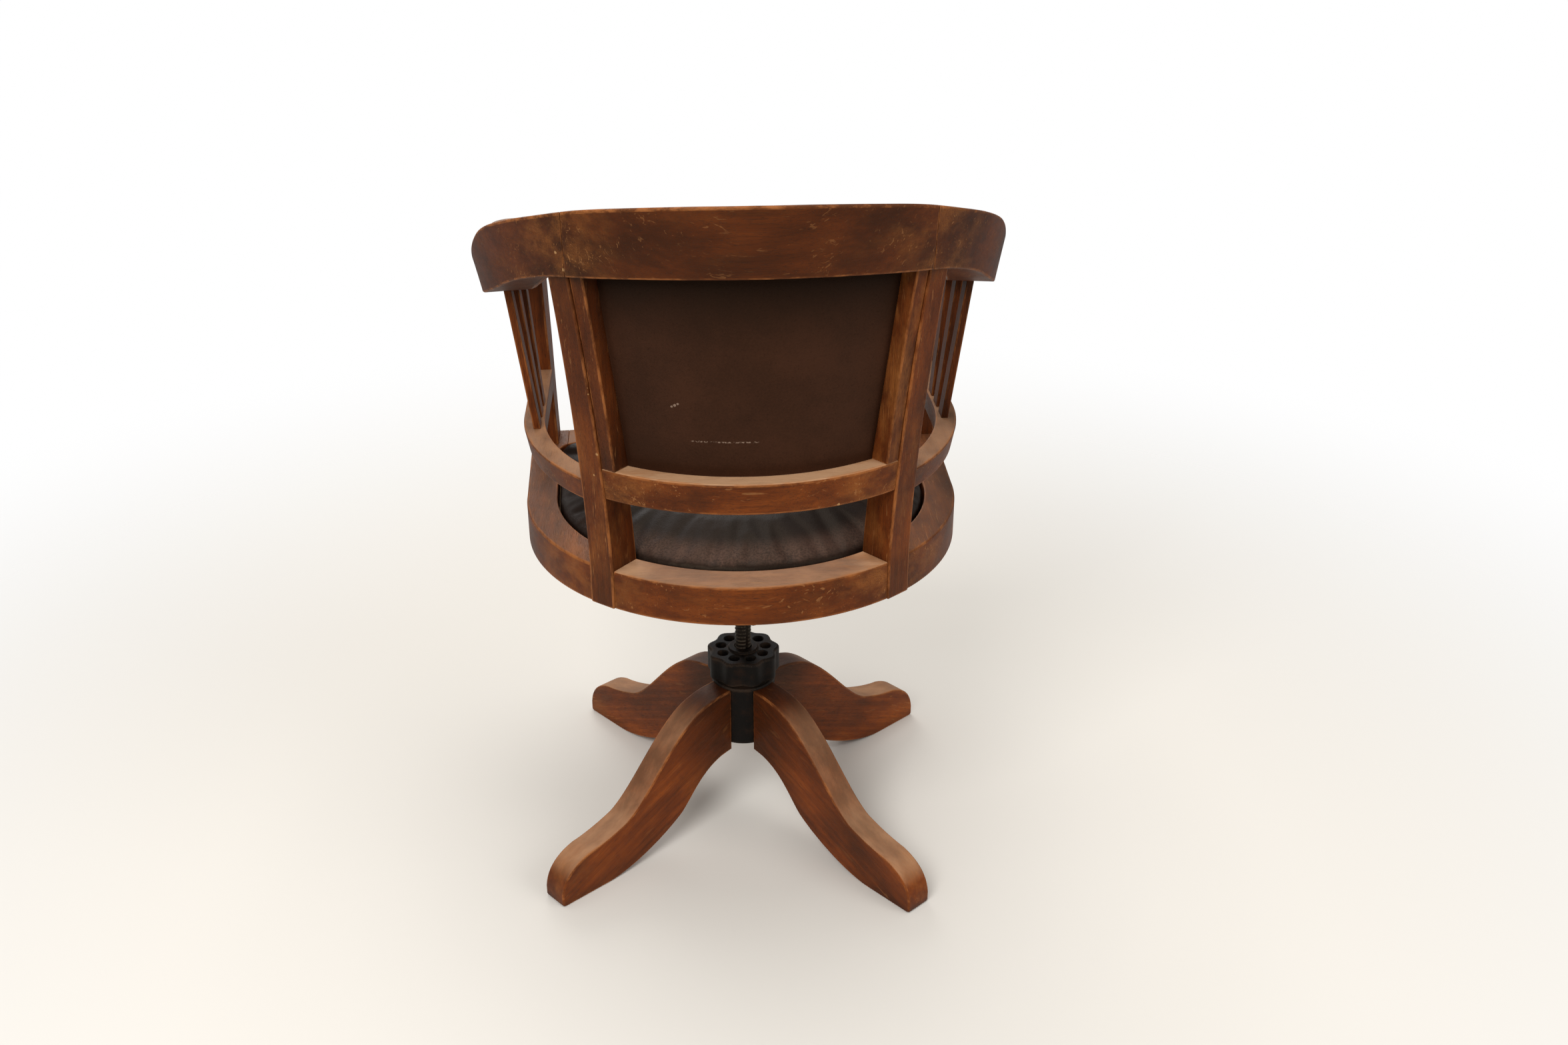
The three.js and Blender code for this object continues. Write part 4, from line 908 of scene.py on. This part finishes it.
def leg_cheek(skin, first, flip):
    """Flat side of a leg: rungs from its lower line to its upper line, filled with small faces."""
    # Points of the lower line up to the toe, and as many of the upper line; three more are on the root
    half = 50
    last = first + 2 * half - 1
    rungs = [[first, last + 3, last + 2, last + 1, last]]
    for i in range(1, half - 1):
        low, high = first + i, last - i
        a, b = np.array(skin.points[low]), np.array(skin.points[high])
        inner = len(skin.points)
        skin.points += [tuple(mix(a, b, share)) for share in (0.25, 0.5, 0.75)]
        skin.arris += [0, 0, 0]
        rungs.append([low, inner, inner + 1, inner + 2, high])
    faces = [(a[k], b[k], b[k + 1], a[k + 1]) for a, b in zip(rungs, rungs[1:]) for k in range(4)]
    faces.append((*rungs[-1][::-1], first + half - 1, first + half))
    skin.faces += [face[::-1] for face in faces] if flip else faces


def drawn_in(outline, amount):
    """The flat outline drawn in by amount, its corners kept sharp."""
    before, after = outline - np.roll(outline, 1, 0), np.roll(outline, -1, 0) - outline
    before /= np.linalg.norm(before, axis=1)[:, None]
    after /= np.linalg.norm(after, axis=1)[:, None]
    across = before + after
    across /= np.linalg.norm(across, axis=1)[:, None]
    normal = np.column_stack([-across[:, 1], across[:, 0]])
    stretch = 1 / np.maximum(np.abs((across * after).sum(1)), 0.7)
    return outline + normal * (amount * stretch)[:, None]


def make_legs():
    outline = leg_outline()
    half, soft, root = LEG_THICK / 2, 2, COLUMN_RADIUS + GAP
    levels = [(soft + 1.1, half, 0)]
    levels += [(soft * (1 - math.sin(t)), half - soft * (1 - math.cos(t)), 1)
               for t in np.radians([0, 22.5, 45, 67.5, 90])]
    levels += [(0, half - soft - 1.1, 0.45), (0, half - soft - 3.5, 0), (0, 5, 0)]
    levels += [(draw, -across, mask) for draw, across, mask in reversed(levels)]
    toe_edge = smooth(outline[:, 0], 270, 300) * smooth(outline[:, 1], 60, 20)
    slope = math.radians(-24)
    for index, node in enumerate(LEG_NODES):
        turn = LEG_FIRST_TURN + index * math.pi / 2
        ahead = np.array([math.cos(turn), math.sin(turn)])
        beside = np.array([-ahead[1], ahead[0]])
        rings, wears = [], []
        for draw, across, mask in levels:
            flat = drawn_in(outline, draw) if draw else outline
            hollow = root - math.sqrt(root ** 2 - across ** 2)
            out = flat[:, 0] - hollow * (flat[:, 0] < COLUMN_RADIUS + 12) * smooth(flat[:, 0], 50, 44)
            rings.append(np.column_stack([np.outer(out, ahead) + across * beside, flat[:, 1]]))
            wears.append(np.maximum(np.full(len(flat), mask), 0.35 * toe_edge * (mask > 0)))
        skin = Skin().loft(rings, wears, capped=False)
        leg_cheek(skin, 0, True)
        leg_cheek(skin, (len(rings) - 1) * len(outline), False)

        def grain(points):
            out, up = points[:, :2] @ ahead, points[:, 2]
            return np.column_stack([out * math.cos(slope) + up * math.sin(slope), points[:, :2] @ beside,
                                    up * math.cos(slope) - out * math.sin(slope)])
        # The legs are darker towards the hub, which is the painted shadow of the seat, and darker within 12
        # mm of the floor
        dress(mesh_of(skin, node), node, "worn", "base", "timber", LEG_TIMBER, grain,
              grime=lambda x, y, z: np.maximum(0.8 * smooth(np.hypot(x, y), 125, 60),
                                               0.45 * smooth(z, 12, 2)),
              dust=lambda x, y, z: 0.62 * smooth(np.hypot(x, y), 70, 130),
              bald=lambda x, y, z: 0.1 + 0.5 * smooth(np.hypot(x, y), 240, 290))


# Iron

def make_column():
    skin = Skin().turned([(COLUMN_BORE, COLUMN_BOTTOM), (COLUMN_RADIUS, COLUMN_BOTTOM),
                          (COLUMN_RADIUS, COLUMN_TOP), (COLUMN_BORE, COLUMN_TOP)], [0.8, 3, 3, 0.8])
    dress(mesh_of(skin, "column"), "pedestal_column", "cast", "base", "cast_iron", CAST_IRON, ALONG_Z)


def make_wheel():
    def lobed(radius, angle):
        valley = (1 - math.cos(LOBES * (angle - FIRST_LOBE))) / 2
        return radius - LOBE_DEPTH * valley * smooth(radius, 30, 37)
    low, top, web, nut = WHEEL_BOTTOM + 2, WHEEL_TOP, WHEEL_TOP - WHEEL_WEB, WHEEL_TOP + 3
    skin = Skin().turned([(WHEEL_BORE, WHEEL_BOTTOM), (WHEEL_NUT, WHEEL_BOTTOM), (WHEEL_NUT, web),
                          (WHEEL_LIP, web), (WHEEL_LIP, low), (WHEEL_RIM, low), (WHEEL_RIM, top),
                          (WHEEL_NUT + 0.5, top), (WHEEL_NUT, nut), (WHEEL_BORE, nut)],
                         [0.6, 1, 2, 2, 1.2, 2.2, 2.8, 1.5, 1, 0.8], 180, lobed, 1.6)
    drills = Skin()
    turns = np.arange(20) / 20 * 2 * math.pi
    for i in range(LOBES):
        angle = FIRST_LOBE + i * 2 * math.pi / LOBES
        rings = []
        for wider, up in ((0, -24.6), (0, -11.2), (0, -1.6), (0.5, -0.6), (1.8, 0.3), (1.8, 15.4)):
            radius = HOLE_RADIUS + wider
            rings.append(np.column_stack([HOLE_CIRCLE * math.cos(angle) + radius * np.cos(turns),
                                          HOLE_CIRCLE * math.sin(angle) + radius * np.sin(turns),
                                          np.full(len(turns), top + up)]))
        drills.loft(rings)
    wheel = placed("wheel_blank", mesh_of(skin, "wheel"))
    drill = placed("wheel_drill", mesh_of(drills, "drill"))
    cut = wheel.modifiers.new("holes", "BOOLEAN")
    cut.operation, cut.object, cut.solver = "DIFFERENCE", drill, "EXACT"
    applied(wheel)
    bored = wheel.data
    for spare in (wheel, drill):
        bpy.data.objects.remove(spare)
    dress(bored, "hand_wheel", "cast", "hand_wheel", "cast_iron", CAST_IRON, ALONG_Z, sharp=30)


def make_screw():
    """A real right-handed thread, closed by plain ends."""
    steps, start = 48, SCREW_BOTTOM + 3
    total = int((SCREW_TOP - start - 3) / SCREW_PITCH) * steps
    # Radius of each line of the thread, and how far it has risen as a share of the pitch
    shape = [(SCREW_ROOT, 0), (9, 0.1), (SCREW_CREST, 0.36),
             (SCREW_CREST, 0.5), (9, 0.76), (SCREW_ROOT, 0.86)]
    width = len(shape)
    skin = Skin()
    for i in range(total + 1):
        angle = 2 * math.pi * i / steps
        beside = abs((angle - KEYWAY_TURN + math.pi) % (2 * math.pi) - math.pi)
        for radius, rise in shape:
            radius = radius if beside > KEYWAY_HALF else min(radius, KEYWAY_RADIUS)
            height = start + SCREW_PITCH * (i / steps + rise)
            skin.points.append((radius * math.cos(angle), radius * math.sin(angle), height))
            skin.arris.append(1 if radius > 9.5 else 0)
    for i in range(total):
        a, b = i * width, (i + 1) * width
        skin.faces += [(a + j, b + j, b + j + 1, a + j + 1) for j in range(width - 1)]
        if i + steps + 1 <= total:
            skin.faces.append((b - 1, b + width - 1, b + steps * width, a + steps * width))
    core = SCREW_ROOT + 0.05
    for low, high in ((SCREW_BOTTOM, SCREW_BOTTOM + 8.5), (SCREW_TOP - 9.5, SCREW_TOP)):
        skin.turned([(0.01, low), (core, low), (core, high), (0.01, high)], [0, 1.6, 1.6, 0], 32)
    dress(mesh_of(skin, "screw"), "height_screw", "threaded", "seat", "steel", STEEL, ALONG_Z, sharp=50)


def make_spider():
    top = FRAME_BOTTOM - GAP
    bottom = top - SPIDER_PLATE
    boss, pin = bottom - SPIDER_BOSS, bottom - SPIDER_PIN
    skin = Skin().turned([(10.3, boss), (22, boss), (22, pin + 7), (33, bottom), (33, top), (10.3, top)],
                         [0.6, 2, 9, 4, 1, 0.6])
    for i, tip in enumerate(SPIDER_REACHES):
        turn = i * math.pi / 2
        sine, cosine = math.sin(turn), math.cos(turn)
        spin = np.array([[cosine, sine, 0], [-sine, cosine, 0], [0, 0, 1]])
        sections = []
        for out in (14, 40, 90, 140, tip - 22, tip - 12, tip - 5, tip - 1.4, tip):
            past = max(out - (tip - SPIDER_HALF), 0)
            half = math.sqrt(max(SPIDER_HALF ** 2 - past ** 2, 9))
            corners = [(out, -half, bottom), (out, half, bottom), (out, half, top), (out, -half, top)]
            sections.append(rounded(corners, [1.6, 1.6, 0.8, 0.8], 2))
        skin.loft([ring @ spin for ring, _ in sections], [wear for _, wear in sections])
    dress(mesh_of(skin, "spider"), "seat_spider", "cast", "seat", "cast_iron", CAST_IRON, ALONG_Z)


def finish_small_solids():
    """Finishes of the solids that are shown as they are packed."""
    for node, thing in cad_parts.items():
        if node.startswith(("leg_stud", "seat_screw", "screw_", "thrust_")):
            thing.material_slots[0].material = STEEL
        if node == "seat_board" or node.startswith("crest_dowel"):
            thing.material_slots[0].material = BARE
        # The back board takes the darkened board finish, which is painted shade
        if node == "back_board":
            thing.material_slots[0].material = SHADED_BOARD


# Leather

def panel_face(height):
    return mix(PANEL_FOOT, PANEL_HEAD, (height - MID_TOP) / (CREST_BOTTOM - MID_TOP))


def panel_top(angle):
    turn = math.atan2(math.sin(angle) / BOW_HALF, math.cos(angle) / BOW_BACK)
    return bow_bottom(abs(turn) / (math.pi / 2) * BOW_BEND) - GAP


def panel_span(height, depth):
    """Half of the angle between the two stiles, at a depth behind the panel's face."""
    across = post_half(height) + STILE_WIDTH + 3 * GAP - post_lean(height)
    return POST_TURN - math.asin(across / (panel_face(height) - depth))


def unrolled(radius):
    """Lays points of the bent panel out flat, for the grain of its leather."""
    return lambda points: np.column_stack([np.arctan2(points[:, 0], points[:, 1]) * radius, points[:, 2],
                                           np.hypot(points[:, 0], points[:, 1])])


def make_rear_leather():
    """Leather drawn tight over the back board, rolling in at its edges."""
    ups = np.linspace(0, 1, 61)
    rings = []
    for share in np.linspace(-1, 1, 91):
        top = panel_top(share * POST_TURN * PANEL_SHARE)
        ring = []
        for depth, up in [(0, up) for up in ups] + [(PANEL_LEATHER, up) for up in reversed(ups)]:
            z = mix(MID_TOP + GAP, top, up)
            angle = share * panel_span(z, depth)
            radius = panel_face(z) - depth
            if depth == 0:
                edge = min(1 - abs(share), up * 0.8, (1 - up) * 0.8) * 130
                swell = 0.8 * math.sin(3.1 * share + 1) * math.sin(4.3 * up + 0.4) * smooth(edge, 2, 40)
                radius += swell - 0.9 - 2.2 * (1 - smooth(edge, 0, 7))
            ring.append(oval(radius, radius, angle, z))
        rings.append(ring)
    # The back panel's leather darkens towards the crest: a painted shadow of the crest
    dress(mesh_of(Skin().loft(rings), "rear_leather"), "back_leather_rear", "stretched", "seat", "leather",
          PANEL_HIDE, unrolled(250), sharp=60, grime=lambda x, y, z: 0.8 * smooth(z, 690, 775))


# How large the faces of a pad are, how hard it is blown up and for how many steps
PAD_VOXEL, PAD_PRESSURE, PAD_STEPS = 5, 4, 20


def stuffed(skin, name, held, swell):
    """The shape remeshed evenly, blown up a little as cloth and smoothed once. held is how firmly a
    point is kept in place, and swell how far it may move."""
    thing = placed(name, mesh_of(skin, name))
    even = thing.modifiers.new("even", "REMESH")
    even.mode, even.voxel_size = "VOXEL", PAD_VOXEL * MM
    applied(thing)
    rest = in_millimetres(thing.data)
    group = thing.vertex_groups.new(name="held")
    for i, weight in enumerate(held(*rest.T)):
        group.add([i], float(weight), "REPLACE")
    settings = thing.modifiers.new("stuffing", "CLOTH").settings
    settings.use_pressure, settings.uniform_pressure_force = True, PAD_PRESSURE
    settings.effector_weights.gravity = 0
    settings.vertex_group_mass = "held"
    settings.quality = 5
    for step in range(1, PAD_STEPS + 1):
        bpy.context.scene.frame_set(step)
    applied(thing)
    bpy.context.scene.frame_set(1)
    moved = in_millimetres(thing.data) - rest
    length = np.maximum(np.linalg.norm(moved, axis=1), 1e-9)
    put_points(thing.data, rest + moved * (np.minimum(length, swell(*rest.T)) / length)[:, None])
    thing.modifiers.new("rounder", "SUBSURF").levels = 1
    applied(thing)
    made = thing.data
    bpy.data.objects.remove(thing)
    return made


def pad_plan(inset_by):
    """Outline of the seat's opening, drawn in by inset_by from the outside of the frame."""
    side = frame_side(inset_by)
    reach = side - OPENING_CORNER
    corner = side - OPENING_CORNER * (1 - np.cos(np.linspace(0, math.pi / 2, 8)))
    front = [*-corner, *np.linspace(-reach, reach, 14)[1:-1], *corner[::-1]]
    return np.array([frame_bend(inset_by, angle) for angle in np.linspace(math.pi / 2, -math.pi / 2, 60)]
                    + [(x, frame_front(inset_by, OPENING_CORNER, x)) for x in front])


def make_seat_pad():
    plan = pad_plan(FRAME_WIDTH + PAD_GAP)
    middle = np.array([0, (FRAME_RADIUS - FRAME_FRONT) / 2])
    bottom, side = BOARD_TOP + GAP, FRAME_TOP + 1
    levels = [(0.985, bottom), (1, bottom + 6), (1, side - 8), (0.998, side - 2), (0.988, side + 3),
              (0.96, side + 7.5), (0.9, side + 11), (0.78, side + 15), (0.56, side + 18),
              (0.3, side + 19.5), (0.06, side + 20)]
    skin = Skin().loft([np.column_stack([(plan - middle) * share + middle, np.full(len(plan), z)])
                        for share, z in levels])
    mesh = stuffed(skin, "seat_pad_blank", lambda x, y, z: 1 - smooth(z, side - 6, side + 2),
                   lambda x, y, z: 1 + 5 * smooth(z, side, side + 8))
    points = in_millimetres(mesh)
    x, y, z = points.T
    angle, out = np.arctan2(x, y), np.hypot(x, y) / (FRAME_RADIUS - FRAME_WIDTH - PAD_GAP)
    at_edge = smooth(out, 0.8, 0.93) * smooth(z, side - 2, side + 3)
    # Short creases that run in from the edge: where, how wide, both in degrees, and how deep
    crease = sum(depth * np.exp(-((angle - math.radians(place)) / math.radians(width)) ** 2)
                 for place, width, depth in ((23.1, 1.0, 0.8), (12.4, 0.8, 0.7), (9.1, 0.9, 1.0),
                                             (5.5, 0.8, 0.8), (-14.6, 1.3, 0.7), (-23.4, 1.1, 0.6)))
    points[:, 2] -= crease * at_edge * 0.5
    put_points(mesh, points)
    # Painted sheen along the rear edge of the seat and painted highlights on its creases, laid into the
    # arris mask
    behind = smooth(y, 60, 150) * smooth(out, 0.78, 0.9) * smooth(z, side - 1, side + 5)
    paint(mesh, "arris", np.clip(0.75 * behind + 0.5 * crease * at_edge, 0, 1))
    pad = dress(mesh, "seat_pad", "leather", "seat", "leather", SEAT_HIDE, ALONG_X, sharp=80)


def make_back_pad():
    bottom = MID_TOP + GAP
    board = PANEL_LEATHER + PANEL_BOARD
    across, up = np.linspace(-1, 1, 41)[:-1], np.linspace(-1, 1, 25)[:-1]
    edge = [(u, -1) for u in across] + [(1, v) for v in up]
    edge += [(-u, -v) for u, v in edge]
    # How much of the outline each ring takes up, and how far it is before the board
    levels = [(0.06, 0), (0.25, 0), (0.5, 0), (0.75, 0), (0.988, 0), (0.986, 7), (0.978, 13), (0.968, 17),
              (0.94, 20.5), (0.86, 24.5), (0.68, 28), (0.4, 30), (0.08, 31)]
    rings = []
    for share, depth in levels:
        ring = []
        for u, v in edge:
            height = (v * share + 1) / 2
            half = panel_span(mix(bottom, panel_top(0), height), board) - 2 / PANEL_FOOT
            angle = u * share * half
            z = mix(bottom + 2, panel_top(angle) - 2, height)
            radius = panel_face(z) - board - 2 * GAP - depth
            ring.append(oval(radius, radius, angle, z))
        rings.append(ring)
    held = lambda x, y, z: 1 - smooth(panel_face(z) - board - 2 * GAP - np.hypot(x, y), 9, 15)
    mesh = stuffed(Skin().loft(rings), "back_pad_blank", held, lambda x, y, z: 5)
    pad = dress(mesh, "back_pad", "leather", "seat", "leather", SEAT_HIDE, unrolled(220), sharp=80)


# Stage, light and camera

def make_floor():
    finish = Finish("pale_floor")
    far = finish.node("VectorMath", {"operation": "LENGTH"}, {0: finish.place()}, output="Value")
    pale = finish.surface(Base_Color=(*colour(222, 217, 209), 1), Roughness=0.9, Specular_IOR_Level=0.1,
                          Alpha=finish.between(far, 0.55, 1.9, 1, 0))
    mesh = bpy.data.meshes.new("floor")
    rim = [oval(14, 14, angle, 0) for angle in np.linspace(math.pi / 2, -1.5 * math.pi, 97)[:-1]]
    mesh.from_pydata(rim, [], [tuple(range(len(rim)))])
    mesh.materials.append(pale)
    floor = placed("floor", mesh)


def make_sky():
    """White where the camera sees it, and a soft warm light elsewhere."""
    sky = Finish("studio", "worlds")
    bpy.context.scene.world = sky.owner
    seen = sky.math("MAXIMUM", *(sky.node("LightPath", output=f"Is {ray} Ray")
                                 for ray in ("Camera", "Transmission")))
    lit, shown = (sky.node("Background", {}, {"Color": tint, "Strength": strength})
                  for tint, strength in (((0.98, 0.97, 0.95), 0.42), ((1, 1, 1), 1)))
    joined = sky.node("MixShader", {}, {0: seen, 1: lit, 2: shown})
    sky.node("OutputWorld", {}, {"Surface": joined})


def make_lamps():
    """Round lamps that face the middle of the chair: place in metres, width and power."""
    lamps = [("key", (1.1, 2.2, 2.5), 1.6, 66), ("fill", (-2.2, 1.5, 2.0), 1.8, 24),
             ("overhead", (0.0, -0.4, 3.4), 2.2, 44), ("front", (0.6, -2.8, 1.9), 1.8, 26)]
    for name, place, size, power in lamps:
        light = bpy.data.lights.new(name, "AREA")
        light.shape, light.size, light.energy = "DISK", size, power
        lamp = placed(name, light)
        lamp.location = place
        lamp.rotation_euler = (Vector((0, 0, 0.45)) - Vector(place)).to_track_quat("-Z", "Y").to_euler()


def make_camera():
    data = bpy.data.cameras.new("camera")
    data.sensor_fit, data.sensor_width, data.lens = "HORIZONTAL", 36, CAMERA_LENS
    camera = placed("camera", data)
    turn = Matrix((CAMERA_RIGHT, CAMERA_UP, CAMERA_RIGHT.cross(CAMERA_UP))).transposed().to_4x4()
    camera.matrix_world = Matrix.Translation(CAMERA_PLACE) @ turn
    bpy.context.scene.camera = camera


for make in (make_camera, make_floor, make_sky, make_lamps, make_bow, make_rear_posts, make_stiles,
             make_seat_frame, make_back_rail, make_side_rails, make_arm_posts, make_slats, make_legs,
             make_column, make_wheel, make_screw, make_spider, finish_small_solids, make_rear_leather,
             make_seat_pad, make_back_pad):
    make()

bpy.context.scene.view_settings.view_transform = "Standard"
